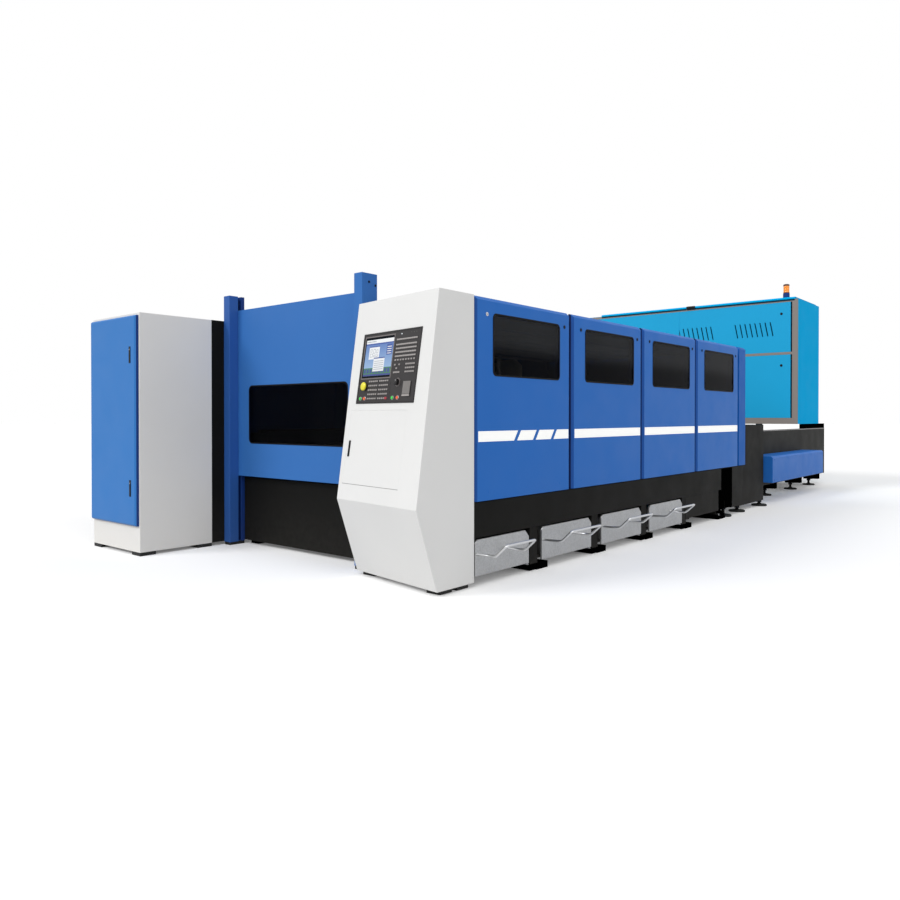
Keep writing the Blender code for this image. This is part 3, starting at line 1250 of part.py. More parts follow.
def build_gantry():
    """The hollow beam on two trucks, the head's carriage and the cutting head."""
    rail = GANTRY_RAIL_X
    seat = BED_TOP + RAIL_HEIGHT + SEAT
    skirt = seat - TRUCK_SKIRT
    top = seat + TRUCK_HEIGHT
    half = TRUCK_WIDTH / 2
    groove = RAIL_WIDTH / 2 + TRUCK_PLAY
    outline = [(rail - half, skirt), (rail - groove, skirt), (rail - groove, seat),
               (rail + groove, seat), (rail + groove, skirt), (rail + half, skirt),
               (rail + half, top), (rail - half, top)]
    truck = prism("Y", GANTRY_Y - TRUCK_LENGTH / 2, GANTRY_Y + TRUCK_LENGTH / 2, outline)
    front = GANTRY_Y - GANTRY_DEPTH / 2
    back = GANTRY_Y + GANTRY_DEPTH / 2
    low = top - BITE
    high = low + GANTRY_HEIGHT
    core = GANTRY_CORE
    bevel = GANTRY_BEVEL
    beam = prism("X", -rail - half + BITE, rail + half - BITE,
                 [(front, low), (back, low), (back, high - bevel), (back - bevel, high),
                  (front, high)],
                 [rectangle(front + core, low + core, back - core, high - bevel - core)])
    bars = []
    for z in (low + GUIDE_BAR_MARGIN, high - GUIDE_BAR_MARGIN - GUIDE_BAR):
        bars.append(bar((-RUNWAY, front - GUIDE_BAR_PROUD, z), (RUNWAY, front + BITE,
                                                               z + GUIDE_BAR)))
    gantry = new_empty("gantry_slide", (0, GANTRY_Y, top), MACHINE)
    node("gantry_beam", join(beam, *mirrored_pair(truck), *bars), MACHINE_GREY, gantry)

    back = front - GUIDE_BAR_PROUD - SEAT
    front = back - CARRIAGE_DEPTH
    left = CARRIAGE_X - CARRIAGE_WIDTH / 2
    right = CARRIAGE_X + CARRIAGE_WIDTH / 2
    bottom = low + CARRIAGE_BELOW
    top = high + CARRIAGE_ABOVE
    body = bar((left, front, bottom), (right, back, top))
    half = CARRIAGE_BEVEL / 2
    body = slice_off(body, (0, front + half, top - half), (0, -1, 1))
    body = slice_off(body, (left + half, 0, top - half), (-1, 0, 1))
    body = slice_off(body, (right - half, 0, top - half), (1, 0, 1))
    carriage = new_empty("carriage_slide", (CARRIAGE_X, back, bottom), MACHINE)
    node("head_carriage", body, CONSOLE_WHITE, carriage)

    back = front - SEAT
    front = back - HEAD_PLATE_THICK
    plate = bar((CARRIAGE_X - HEAD_PLATE_WIDTH / 2, front, HEAD_PLATE_BOTTOM),
                (CARRIAGE_X + HEAD_PLATE_WIDTH / 2, back, HEAD_PLATE_BOTTOM + HEAD_PLATE_HEIGHT))
    centre_y = front - HEAD_RADIUS + BITE
    profile = [(0.0, COLLIMATOR_TOP), (COLLIMATOR_RADIUS, COLLIMATOR_TOP),
               (COLLIMATOR_RADIUS, HEAD_TOP), (HEAD_RADIUS, HEAD_TOP),
               (HEAD_RADIUS, HEAD_WAIST), (HEAD_WAIST_RADIUS, HEAD_WAIST),
               (HEAD_WAIST_RADIUS, NOZZLE_TOP + NOZZLE_RADIUS), (NOZZLE_RADIUS, NOZZLE_TOP),
               (NOZZLE_TIP_RADIUS, NOZZLE_TIP), (0.0, NOZZLE_TIP)]
    body = turned(profile, (CARRIAGE_X, centre_y, 0.0))
    head = new_empty("head_slide", (CARRIAGE_X, centre_y, NOZZLE_TIP), MACHINE)
    node("cutting_head", join(plate, body), BRIGHT_STEEL, head)


# Pallets and shuttle table

def pallet_shape(near, level):
    """A welded frame with serrated slats across it and ties along it."""
    half = RUNWAY - PALLET_SIDE_PLAY
    far = near + PALLET_LENGTH
    inner = half - PALLET_RAIL
    frame = prism("Z", level, level + PALLET_HEIGHT, rectangle(-half, near, half, far),
                  [rectangle(-inner, near + PALLET_RAIL, inner, far - PALLET_RAIL)])
    end = inner + BITE
    low = level + PALLET_HEIGHT - SLAT_HEIGHT + SLAT_RISE / 2
    top = level + SLAT_RISE
    outline = [(-end, low), (end, low), (end, top)]
    for tooth in range(SLAT_TEETH):
        for share, lift in ((0.25, SLAT_TOOTH), (0.75, 0.0)):
            outline.append((end + (-end - end) * (tooth + share) / SLAT_TEETH, top + lift))
    outline.append((-end, top))
    pitch = (PALLET_LENGTH - 2 * PALLET_RAIL) / SLAT_COUNT
    pieces = []
    for index in range(SLAT_COUNT):
        middle = near + PALLET_RAIL + (index + 0.5) * pitch
        pieces.append(prism("Y", middle - SLAT_THICK / 2, middle + SLAT_THICK / 2, outline))
    for index in range(1, PALLET_CROSS_TIES + 1):
        x = -inner + 2 * inner * index / (PALLET_CROSS_TIES + 1)
        pieces.append(bar((x - PALLET_TIE / 2, near + PALLET_RAIL - BITE, level + BITE),
                          (x + PALLET_TIE / 2, far - PALLET_RAIL + BITE, low + BITE)))
    return join(frame, *pieces)


def build_pallets():
    """One pallet in the machine on the upper runway, one on the shuttle's lower runway."""
    for name, near, level in (("upper", PALLET_INSIDE_Y, UPPER_SHELF_TOP + SEAT),
                              ("lower", PALLET_SHUTTLE_Y, LOWER_SHELF_TOP + SEAT)):
        slide = new_empty(f"pallet_{name}_slide", (0, near, level), MACHINE)
        node(f"pallet_{name}", pallet_shape(near, level), PALLET_STEEL, slide)


def box_wall(outer, deck, bottom, top, skin):
    """A hollow sheet wall beside the runway, open below."""
    return [(RUNWAY, deck), (RUNWAY + skin, deck), (RUNWAY + skin, top - skin),
            (outer - skin, top - skin), (outer - skin, bottom), (outer, bottom),
            (outer, top), (RUNWAY, top)]


def build_shuttle():
    """The bridge section at the machine, the shuttle table and the cover of its drive."""
    outer = RIGHT - BRIDGE_OUTER_INSET
    deck = LOWER_SHELF_TOP - SHELF_THICK - CROSS_TIE
    outside = box_wall(outer, deck, BRIDGE_BOTTOM, BRIDGE_TOP, BRIDGE_SKIN)
    pieces = mirrored_pair(prism("Y", BRIDGE_Y, BRIDGE_END_Y, runway_outline(outside)))
    tie_low = deck - CROSS_TIE / 2
    reach = outer - BRIDGE_SKIN + BITE
    for y in (BRIDGE_Y + BITE, BRIDGE_END_Y - CROSS_TIE - BITE):
        pieces.append(bar((-reach, y, tie_low), (reach, y + CROSS_TIE, tie_low + CROSS_TIE)))
        leg = bar((outer - CROSS_TIE, y + BITE, BRIDGE_BOTTOM + BITE),
                  (outer - BITE, y + CROSS_TIE - BITE, tie_low + 2 * BITE))
        pad = level_foot(outer - CROSS_TIE / 2, y + CROSS_TIE / 2, BRIDGE_BOTTOM + BITE)
        pieces += mirrored_pair(leg) + mirrored_pair(pad)
    node("shuttle_bridge", join(*pieces), BED_BLACK)

    outside = box_wall(SHUTTLE_HALF, SHUTTLE_BOTTOM, SHUTTLE_BOTTOM, SHUTTLE_TOP, SHUTTLE_SKIN)
    pieces = mirrored_pair(prism("Y", SHUTTLE_Y, SHUTTLE_END_Y, runway_outline(outside)))
    reach = SHUTTLE_HALF - SHUTTLE_SKIN + BITE
    for share in SHUTTLE_TIE_SHARES:
        y = SHUTTLE_Y + share * (SHUTTLE_LENGTH - CROSS_TIE)
        pieces.append(bar((-reach, y, SHUTTLE_BOTTOM + BITE),
                          (reach, y + CROSS_TIE, SHUTTLE_BOTTOM + CROSS_TIE)))
        pieces += mirrored_pair(level_foot(RUNWAY - LEVEL_INSET, y + CROSS_TIE / 2,
                                           SHUTTLE_BOTTOM + BITE))
    pieces.append(bar((-reach, SHUTTLE_END_Y - SHUTTLE_SKIN - BITE, SHUTTLE_BOTTOM + BITE),
                      (reach, SHUTTLE_END_Y - BITE, LOWER_SHELF_TOP - SHELF_THICK - BITE)))
    node("shuttle_frame", join(*pieces), BED_BLACK)

    inner = SHUTTLE_HALF + SEAT
    top = DRIVE_BOTTOM + DRIVE_HEIGHT
    cover = bar((inner, DRIVE_Y, DRIVE_BOTTOM), (RIGHT, DRIVE_Y + DRIVE_LENGTH, top))
    half = DRIVE_BEVEL / 2
    cover = slice_off(cover, (RIGHT - half, 0, top - half), (1, 0, 1))
    hollow = bar((inner - OVERRUN, DRIVE_Y + DRIVE_SKIN, DRIVE_BOTTOM + DRIVE_SKIN),
                 (RIGHT - DRIVE_BEVEL, DRIVE_Y + DRIVE_LENGTH - DRIVE_SKIN, top - DRIVE_BEVEL))
    node("drive_cover", cut(cover, hollow), DOOR_BLUE)


# Rear service housing

def build_housing_frame():
    """A grey frame of tubes, cut from one block by what passes between them."""
    left = HOUSING_LEFT + HOUSING_SKIN + SEAT
    right = HOUSING_RIGHT - HOUSING_SKIN - SEAT
    front = HOUSING_FRONT_Y
    back = HOUSING_REAR_Y - HOUSING_SKIN - SEAT
    tube = HOUSING_TUBE
    split = HOUSING_RIGHT - HOUSING_SPLIT
    half = HOUSING_MULLION / 2
    sill = HOUSING_BOTTOM + HOUSING_SILL_RAIL
    head = HOUSING_TOP - HOUSING_HEAD_RAIL
    recess = front + HOUSING_PAN + SEAT
    cutters = [bar((left + HOUSING_POST, front - OVERRUN, sill), (split, recess, head))]
    for low_z, high_z in ((sill, HOUSING_MID_LEVEL), (HOUSING_MID_LEVEL + HOUSING_MID_RAIL, head)):
        cutters.append(bar((split - BITE, front - OVERRUN, low_z),
                           (right - HOUSING_POST, recess, high_z)))
        for low_x, high_x in ((split + half, right - HOUSING_POST),
                              (left + HOUSING_POST, split - half)):
            cutters.append(bar((low_x, recess - BITE, low_z), (high_x, back + OVERRUN, high_z)))
    cutters.append(bar((left - OVERRUN, front + tube, sill), (right + OVERRUN, back - tube, head)))
    for low_x, high_x in ((split + half, right - tube), (left + tube, split - half)):
        cutters.append(bar((low_x, front + tube, HOUSING_BOTTOM - OVERRUN),
                           (high_x, back - tube, HOUSING_TOP + OVERRUN)))
    frame = cut(bar((left, front, HOUSING_BOTTOM), (right, back, HOUSING_TOP)), *cutters)
    bracket_x = HOUSING_RIGHT - BRACKET_SIDE
    bracket = bar((bracket_x - BRACKET_WIDTH, front + BITE, HOUSING_BOTTOM - BRACKET_DROP),
                  (bracket_x, front + tube - BITE, HOUSING_BOTTOM + BITE))
    node("housing_frame", join(frame, bracket), FRAME_GREY)


def housing_pan(low, high, *slots):
    """A folded sheet panel that closes part of the housing's front."""
    rim = HOUSING_RIM
    pan = bar((low[0], HOUSING_FRONT_Y, low[1]), (high[0], HOUSING_FRONT_Y + HOUSING_PAN, high[1]))
    pocket = bar((low[0] + rim, HOUSING_FRONT_Y + HOUSING_SKIN, low[1] + rim),
                 (high[0] - rim, HOUSING_FRONT_Y + HOUSING_PAN + OVERRUN, high[1] - rim))
    return cut(pan, pocket, *slots)


def build_housing_skins():
    """The shell round three sides, the fixed front panel and the two doors beside it."""
    skin = HOUSING_SKIN
    left = HOUSING_LEFT
    right = HOUSING_RIGHT
    rear = HOUSING_REAR_Y
    front = HOUSING_FRONT_Y
    split = HOUSING_RIGHT - HOUSING_SPLIT
    outline = [(right, front), (right, rear), (left, rear), (left, front), (left + skin, front),
               (left + skin, rear - skin), (right - skin, rear - skin), (right - skin, front)]
    shell = prism("Z", HOUSING_BOTTOM, HOUSING_TOP, outline)
    roof_end = HOUSING_RIGHT - LID_LENGTH - SHUT_GAP
    roof = bar((left, front, HOUSING_TOP + SEAT), (roof_end, rear, HOUSING_TOP + SEAT + skin))
    riser = bar((left + SEAT, front + skin, HOUSING_TOP - BITE),
                (left + skin - SEAT, rear - skin, HOUSING_TOP + BITE / 2))
    node("housing_shell", join(shell, roof, riser), HOUSING_CYAN)

    sill = HOUSING_BOTTOM + HOUSING_SILL_RAIL + SHUT_GAP
    head = HOUSING_TOP - HOUSING_HEAD_RAIL - SHUT_GAP
    low_x = left + skin + SEAT + HOUSING_POST + SHUT_GAP
    node("housing_front_panel", housing_pan((low_x, sill), (split - SHUT_GAP, head)), HOUSING_CYAN)

    low_x = split + SHUT_GAP
    high_x = right - skin - SEAT - HOUSING_POST - HOUSING_DOOR_GAP
    rows = (("lower", sill, HOUSING_MID_LEVEL - SHUT_GAP),
            ("upper", HOUSING_MID_LEVEL + HOUSING_MID_RAIL + SHUT_GAP, head))
    for name, low_z, high_z in rows:
        slots = louvres(low_z) if name == "upper" else []
        hinge = new_empty(f"housing_{name}_door_hinge", (low_x, front, low_z), MACHINE)
        node(f"housing_{name}_door", housing_pan((low_x, low_z), (high_x, high_z), *slots),
             HOUSING_CYAN, hinge, hinge.location)


def louvres(door_sill):
    """Cutters for the two groups of slanting vent slots."""
    cutters = []
    low = door_sill + LOUVRE_SILL
    high = low + LOUVRE_HEIGHT
    for first in (LOUVRE_FIRST, LOUVRE_SECOND):
        for index in range(LOUVRE_COUNT):
            x = HOUSING_RIGHT - first - index * LOUVRE_PITCH
            outline = [(x - LOUVRE_WIDTH, low), (x, low), (x - LOUVRE_SLANT, high),
                       (x - LOUVRE_SLANT - LOUVRE_WIDTH, high)]
            cutters.append(prism("Y", HOUSING_FRONT_Y - OVERRUN,
                                 HOUSING_FRONT_Y + HOUSING_PAN + OVERRUN / 2, outline))
    return cutters


def build_lids():
    """Two roof lids, hinged along the back edge, with the warning beacon on the right one."""
    seat = HOUSING_TOP + SEAT
    top = seat + LID_THICK
    front = HOUSING_FRONT_Y - LID_OVERHANG
    spans = (("right", HOUSING_RIGHT - LID_SPLIT + SHUT_GAP,
              HOUSING_RIGHT - LID_END),
             ("left", HOUSING_RIGHT - LID_LENGTH, HOUSING_RIGHT - LID_SPLIT))
    for name, low_x, high_x in spans:
        lid = bar((low_x, front, seat), (high_x, HOUSING_REAR_Y, top))
        half = LID_THICK / 4
        lid = slice_off(lid, (0, front + half, top - half), (0, -1, 1))
        rim = HOUSING_RIM
        pocket = bar((low_x + rim, front + rim, seat - OVERRUN),
                     (high_x - rim, HOUSING_REAR_Y - rim, top - HOUSING_SKIN))
        hinge = new_empty(f"housing_lid_{name}_hinge", (low_x, HOUSING_REAR_Y, seat), MACHINE)
        node(f"housing_lid_{name}", cut(lid, pocket), HOUSING_CYAN, hinge, hinge.location)
        if name == "right":
            build_beacon(hinge, top + SEAT)


def build_beacon(carrier, bottom):
    """A round base with an orange dome."""
    place = (HOUSING_RIGHT - BEACON_SIDE, HOUSING_FRONT_Y + BEACON_BACK, bottom)
    radius = BEACON_RADIUS
    base = [(0.0, BEACON_BASE), (radius * BEACON_NECK_SHARE, BEACON_BASE),
            (radius * BEACON_NECK_SHARE, BEACON_BASE * BEACON_NECK_SHARE), (radius, 0.0),
            (0.0, 0.0)]
    node("beacon_base", turned(base, place), DARK_BLUE, carrier, place, smooth=True)
    place = (place[0], place[1], bottom + BEACON_BASE + SEAT)
    straight = BEACON_DOME - radius * BEACON_NECK_SHARE
    dome = [(0.0, BEACON_DOME)]
    for step in range(1, ROUND_STEPS + 1):
        angle = math.pi / 2 * (1 - step / ROUND_STEPS)
        dome.append((radius * BEACON_NECK_SHARE * math.cos(angle),
                     straight + radius * BEACON_NECK_SHARE * math.sin(angle)))
    dome += [(radius * BEACON_NECK_SHARE, 0.0), (0.0, 0.0)]
    node("beacon_dome", turned(dome, place), BEACON_ORANGE, carrier, place, smooth=True)


def build_supports():
    """A block on the shuttle's wall under the housing's right side, a stand under its left."""
    low = SHUTTLE_TOP + SEAT
    high = HOUSING_BOTTOM - SEAT
    block = bar((SHUTTLE_HALF - SUPPORT_WIDTH, HOUSING_FRONT_Y + SUPPORT_START, low),
                (SHUTTLE_HALF, SHUTTLE_END_Y - SHUTTLE_SKIN, high))
    node("support_block", block, BED_BLACK)

    left = HOUSING_LEFT + STAND_POST / 2
    right = left + STAND_POST
    near = HOUSING_FRONT_Y + STAND_POST / 2
    far = HOUSING_REAR_Y - STAND_POST / 2
    beam = bar((left, near, high - STAND_POST), (right, far, high))
    pieces = []
    for y in (near, far - STAND_POST):
        pieces.append(bar((left + BITE, y + BITE, BITE),
                          (right - BITE, y + STAND_POST - BITE, high - BITE)))
        middle_x = (left + right) / 2
        middle_y = y + STAND_POST / 2
        half = STAND_PLATE_WIDTH / 2
        pieces.append(bar((middle_x - half, middle_y - half, 0.0),
                          (middle_x + half, middle_y + half, STAND_PLATE)))
    brace = CROSS_TIE / 2
    pieces.append(bar((left + 2 * BITE, near + BITE, SHUTTLE_BOTTOM),
                      (right - 2 * BITE, far - BITE, SHUTTLE_BOTTOM + brace)))
    node("support_stand", join(beam, *pieces), BED_BLACK)


# Values worked out from those at the top, and small tables of shares

FIRST_DRAWER_Y = CONSOLE_REAR_Y + DRAWER_CLEAR_CONSOLE
GANTRY_RAIL_X = (RUNWAY + RIGHT - BED_WALL_INSET) / 2
FACE_CORNER = (CONSOLE_LEFT, CONSOLE_FRONT_LEFT_Y, CONSOLE_TOP)
FACE_EULER = (-CONSOLE_LEAN, 0.0, -CONSOLE_TURN)
FACE_TURN = Euler(FACE_EULER).to_matrix()
FACE_MATRIX = Matrix.Translation(FACE_CORNER) @ FACE_TURN.to_4x4()
CROWN_SHARE = 0.85
BEACON_NECK_SHARE = 0.80
STOP_SHARES = (0.130, 0.760)
DIAL_SHARES = (0.700, 0.720)
SHUTTLE_TIE_SHARES = (0.03, 0.34, 0.67, 0.94)
KEY_STRIP_SHARES = (
    [(0.60, 0.115 + 0.055 * row, 0.95, 0.145 + 0.055 * row) for row in range(6)]
    + [(0.78, 0.47 + 0.055 * row, 0.95, 0.50 + 0.055 * row) for row in range(3)]
    + [(left, 0.705 + 0.065 * row, left + 0.165, 0.74 + 0.065 * row)
       for left in (0.225, 0.42) for row in range(4)]
)


clear_scene()
MODEL = new_collection("fiber_laser_cutting_machine")
MACHINE = new_empty("machine_origin", (-ORIGIN_X, -ORIGIN_Y, 0.0))
FACE = new_empty("console_face", FACE_CORNER, MACHINE, FACE_EULER)

DOOR_BLUE = paint("door_blue_enamel", 0.055, 0.150, 0.470, 0.38)
DARK_BLUE = paint("frame_blue_enamel", 0.030, 0.085, 0.330, 0.42)
BED_BLACK = paint("black_bed_enamel", 0.018, 0.018, 0.019, 0.50)
CONSOLE_WHITE = paint("pale_grey_enamel", 0.750, 0.750, 0.745, 0.45)
PANEL_GREY = paint("panel_dark_grey", 0.060, 0.060, 0.065, 0.45)
TINTED_GLASS = paint("tinted_glass", 0.010, 0.010, 0.012, 0.08)
SCREEN = paint("screen_glass", 0.100, 0.300, 0.600, 0.15)
GALVANISED = paint("galvanised_sheet", 0.420, 0.425, 0.430, 0.42, 0.9)
PALLET_STEEL = paint("pallet_steel", 0.160, 0.155, 0.150, 0.55, 0.8)
BRIGHT_STEEL = paint("bright_steel", 0.600, 0.600, 0.610, 0.25, 1.0)
MACHINE_GREY = paint("machine_grey_enamel", 0.300, 0.310, 0.320, 0.45)
LATCH_BLACK = paint("black_latch_plastic", 0.012, 0.012, 0.012, 0.40)
STOP_YELLOW = paint("stop_yellow_plastic", 0.850, 0.720, 0.030, 0.35)
BUTTON_GREEN = paint("green_button_plastic", 0.030, 0.550, 0.080, 0.35)
BUTTON_ORANGE = paint("orange_button_plastic", 0.800, 0.130, 0.020, 0.35)
HOUSING_CYAN = paint("cyan_enamel", 0.010, 0.360, 0.680, 0.40)
FRAME_GREY = paint("frame_grey_enamel", 0.270, 0.240, 0.215, 0.45)
BEACON_ORANGE = paint("beacon_orange_plastic", 0.900, 0.270, 0.020, 0.25)

BUTTON_SHARES = (
    ("start_button_left", 0.075, 0.930, BUTTON_GREEN),
    ("halt_button_left", 0.150, 0.930, BUTTON_ORANGE),
    ("start_button_right", 0.645, 0.930, BUTTON_GREEN),
    ("halt_button_right", 0.730, 0.930, BUTTON_ORANGE),
)

build_bed()
build_front()
build_post("left", LEFT + POST_WIDTH, 1)
build_post("right", RIGHT_POST_LEFT, -1)
build_lift_door()
build_enclosure()
build_side_doors()
for drawer in range(DRAWER_COUNT):
    build_drawer(drawer)
build_console()
build_cabinet()
build_gantry()
build_pallets()
build_shuttle()
build_housing_frame()
build_housing_skins()
build_lids()
build_supports()
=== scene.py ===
"""A fiber laser cutting machine: finishes, seals, stripes, locks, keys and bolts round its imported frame.

Metres, +Z up. The operator stands on the -Y side, the side doors and scrap drawers face +X,
and the shuttle table and service housing lie towards +Y. Places come from the frame's own
boxes, so each piece sits on the solid that carries it.
"""

import json
import math

import bmesh
import bpy
from mathutils import Matrix, Vector

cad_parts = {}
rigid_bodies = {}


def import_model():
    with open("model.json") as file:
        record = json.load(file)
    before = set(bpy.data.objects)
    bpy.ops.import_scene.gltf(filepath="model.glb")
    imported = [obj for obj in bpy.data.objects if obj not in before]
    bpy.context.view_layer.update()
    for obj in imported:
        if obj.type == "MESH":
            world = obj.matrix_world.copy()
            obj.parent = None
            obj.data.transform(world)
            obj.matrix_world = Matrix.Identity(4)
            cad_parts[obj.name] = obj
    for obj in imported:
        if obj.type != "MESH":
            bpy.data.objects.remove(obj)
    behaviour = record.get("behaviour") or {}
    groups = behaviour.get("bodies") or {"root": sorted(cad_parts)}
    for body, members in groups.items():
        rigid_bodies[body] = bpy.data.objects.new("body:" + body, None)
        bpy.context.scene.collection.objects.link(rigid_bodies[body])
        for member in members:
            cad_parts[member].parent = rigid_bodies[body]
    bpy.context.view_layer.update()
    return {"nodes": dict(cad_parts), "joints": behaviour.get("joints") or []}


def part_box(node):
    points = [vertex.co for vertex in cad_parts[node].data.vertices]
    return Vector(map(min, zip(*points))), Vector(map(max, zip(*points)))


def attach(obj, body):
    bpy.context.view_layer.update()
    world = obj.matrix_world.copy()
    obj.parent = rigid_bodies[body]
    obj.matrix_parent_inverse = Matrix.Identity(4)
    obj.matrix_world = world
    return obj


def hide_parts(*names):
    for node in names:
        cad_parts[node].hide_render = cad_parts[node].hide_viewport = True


bl_info = {
    "name": "Fiber laser cutting machine",
    "version": (1, 0, 0),
    "blender": (4, 5, 0),
    "location": "View3D > Sidebar > Laser cutter",
    "description": "Dresses the frame of a fiber laser cutting machine",
    "category": "Object",
}

for leftover in list(bpy.data.objects):
    bpy.data.objects.remove(leftover, do_unlink=True)
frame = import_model()


# Colours and small helpers

def linear(colour):
    """The linear colour that an sRGB hex value stands for."""
    shares = [int(colour[i:i + 2], 16) / 255 for i in (1, 3, 5)]
    return tuple(s / 12.92 if s <= 0.04045 else ((s + 0.055) / 1.055) ** 2.4 for s in shares)


def scaled(colour, factor=1.0):
    """A colour, in shares or as an sRGB hex value, made lighter or darker, with its alpha."""
    shares = linear(colour) if isinstance(colour, str) else colour
    return tuple(min(1.0, c * factor) for c in shares[:3]) + (1.0,)


def add(tree, kind, inputs=None, **settings):
    """Add a node, give it its settings, and set or link its inputs."""
    node = tree.nodes.new(kind)
    for name, value in settings.items():
        setattr(node, name, value)
    for socket, value in (inputs or {}).items():
        if isinstance(value, bpy.types.NodeSocket):
            tree.links.new(value, node.inputs[socket])
        else:
            node.inputs[socket].default_value = value
    return node


def maths(tree, operation, *values):
    """The result of an operation on one, two or three values."""
    return add(tree, "ShaderNodeMath", dict(enumerate(values)), operation=operation).outputs[0]


def vector(tree, **parts):
    """A vector from its parts x, y and z; a part that is not given is zero."""
    inputs = {axis.upper(): part for axis, part in parts.items()}
    return add(tree, "ShaderNodeCombineXYZ", inputs).outputs[0]


def mapped(tree, value, low, high, start=0.0, end=1.0, **settings):
    """A value between start and end, carried to the span from low to high."""
    return add(tree, "ShaderNodeMapRange", {"Value": value, "From Min": start, "From Max": end,
                                            "To Min": low, "To Max": high}, **settings).outputs[0]


def height_at(tree, place):
    """The height of a place."""
    return add(tree, "ShaderNodeSeparateXYZ", {0: place}).outputs[2]


def noise(tree, place, scale, detail, roughness=0.5):
    """Cloudy noise round a half."""
    return add(tree, "ShaderNodeTexNoise", {"Vector": place, "Scale": scale, "Detail": detail,
                                            "Roughness": roughness}).outputs["Fac"]


def blend(tree, share, low, high):
    """A colour between two others."""
    return add(tree, "ShaderNodeMix", {0: share, 6: low, 7: high}, data_type="RGBA").outputs[2]


def relief(tree, height, strength, depth):
    """Fine relief of a surface, its depth in metres."""
    return add(tree, "ShaderNodeBump", {"Strength": strength, "Distance": depth,
                                        "Height": height}).outputs[0]


# Settings shown in the panel

def paint_setting(name, description, colour):
    """A colour that a user would change."""
    return bpy.props.FloatVectorProperty(name=name, description=description, subtype="COLOR",
                                         size=3, min=0.0, max=1.0, default=linear(colour))


def length_setting(name, description, metres):
    """A length that a user would change."""
    return bpy.props.FloatProperty(name=name, description=description, default=metres,
                                   min=0.0, unit="LENGTH", subtype="DISTANCE", precision=4)


class LaserCutterColours(bpy.types.PropertyGroup):
    """Paint and plastic colours"""
    side_doors: paint_setting("Side doors", "Enamel of the side doors and walls", "#216ABF")
    lift_door: paint_setting("Lift door", "Enamel of the lift door and guide posts", "#346EB5")
    cabinet_door: paint_setting("Cabinet door", "Enamel of the control cabinet's door", "#3276BD")
    # Painted shade: this darker blue stands for the shade on hinge edges, frames, grooves and door edges;
    # the beacon's foot wears it as its own dark blue.
    hinge_edge_shade: paint_setting("Hinge edges", "Darker enamel on hinge edges and frames", "#123577")
    housing_front: paint_setting("Housing front", "Enamel of the housing's doors", "#14A5D9")
    housing_side: paint_setting("Housing shell", "Enamel of the housing's shell and lids", "#00A9E4")
    housing_frame: paint_setting("Housing frame", "Enamel of the housing's tubes", "#8B847F")
    # The left post's darker blue is painted shade: both guide posts carry the lift door's enamel.
    left_post_shaded: paint_setting("Left guide post", "Enamel of the left guide post", "#2C5AA2")
    # The end panel's blue is darker than the side doors': painted shade.
    end_sheet_shaded: paint_setting("End panel", "Enamel of the enclosure's end panel", "#1C60B4")
    pale_sheet: paint_setting("Pale sheet", "Textured enamel of console and cabinet", "#E5E5E4")
    bed: paint_setting("Bed", "Textured enamel of bed and shuttle table", "#141413")
    stripe: paint_setting("Stripe", "Vinyl stripe along the side doors", "#F4F4F2")
    panel: paint_setting("Panel", "Overlay of the control panel", "#262324")
    keys: paint_setting("Keys", "Caps of the panel's keys", "#A09B99")


class LaserCutterSizes(bpy.types.PropertyGroup):
    """Sizes of the small parts"""
    edge_round: length_setting("Folded edge", "Radius of folded sheet edges", 0.0025)
    casing_round: length_setting("Casing edge", "Radius of the console's and cabinet's edges", 0.004)
    seal_width: length_setting("Seal width", "Width of the rubber seals round the windows", 0.012)
    seal_height: length_setting("Seal height", "Height of the rubber seals", 0.005)
    stripe_rise: length_setting("Stripe rise", "Stripe above a side door's lower edge", 0.411)
    stripe_height: length_setting("Stripe height", "Height of the stripe", 0.073)
    stripe_cut: length_setting("Stripe cut", "Width of the slanting cuts in the first stripe", 0.040)
    stripe_lean: length_setting("Stripe lean", "How far a cut leans over the stripe's height", 0.050)
    # Width of the dark navy of painted shade on a shut door's hinge edge.
    edge_shade_width: length_setting("Dark edge", "Width of the shut door edge's dark part", 0.0085)
    lock_radius: length_setting("Lock radius", "Radius of the quarter-turn locks", 0.014)
    bolt_flats: length_setting("Bolt flats", "Across flats of the frame's hexagon bolts", 0.019)
    foot_nut_flats: length_setting("Foot nut", "Across flats of the nuts on levelling feet", 0.055)
    key_width: length_setting("Key width", "Width of a key on the control panel", 0.0205)
    key_height: length_setting("Key height", "Height of a key on the control panel", 0.0115)
    slat_pitch: length_setting("Slat pitch", "Distance between the pallets' slats", 0.0766)
    tooth_pitch: length_setting("Tooth pitch", "Distance between the teeth of a slat", 0.0656)


class LaserCutterLight(bpy.types.PropertyGroup):
    """Studio light"""
    sky: bpy.props.FloatProperty(name="Sky", description="Strength of the even light from all sides",
                                 default=0.50, min=0.0)
    key: bpy.props.FloatProperty(name="Key lamp", description="Strength of the soft lamp front left",
                                 default=1.15, min=0.0)
    second: bpy.props.FloatProperty(name="Second lamp", description="Strength of the lamp in front",
                                    default=0.90, min=0.0)
    fill: bpy.props.FloatProperty(name="Fill lamp", description="Strength of the lamp on the doors' side",
                                  default=0.52, min=0.0)


# Mesh tools

def evaluated(thing):
    """The mesh of an object with its modifiers applied; the object itself goes."""
    bpy.context.view_layer.update()
    graph = bpy.context.evaluated_depsgraph_get()
    mesh = bpy.data.meshes.new_from_object(thing.evaluated_get(graph), depsgraph=graph)
    bpy.data.objects.remove(thing, do_unlink=True)
    return mesh


def in_scene(data):
    """Link a mesh or curve as an object for modifiers to work on."""
    thing = bpy.data.objects.new("working", data)
    bpy.context.scene.collection.objects.link(thing)
    return thing


def shaded(mesh, angle=35.0):
    """Smooth shading that keeps the large faces flat between rounded edges."""
    mesh.shade_smooth()
    mesh.set_sharp_from_angle(angle=math.radians(angle))
    thing = in_scene(mesh)
    thing.modifiers.new("Weighted normals", "WEIGHTED_NORMAL").keep_sharp = True
    return evaluated(thing)


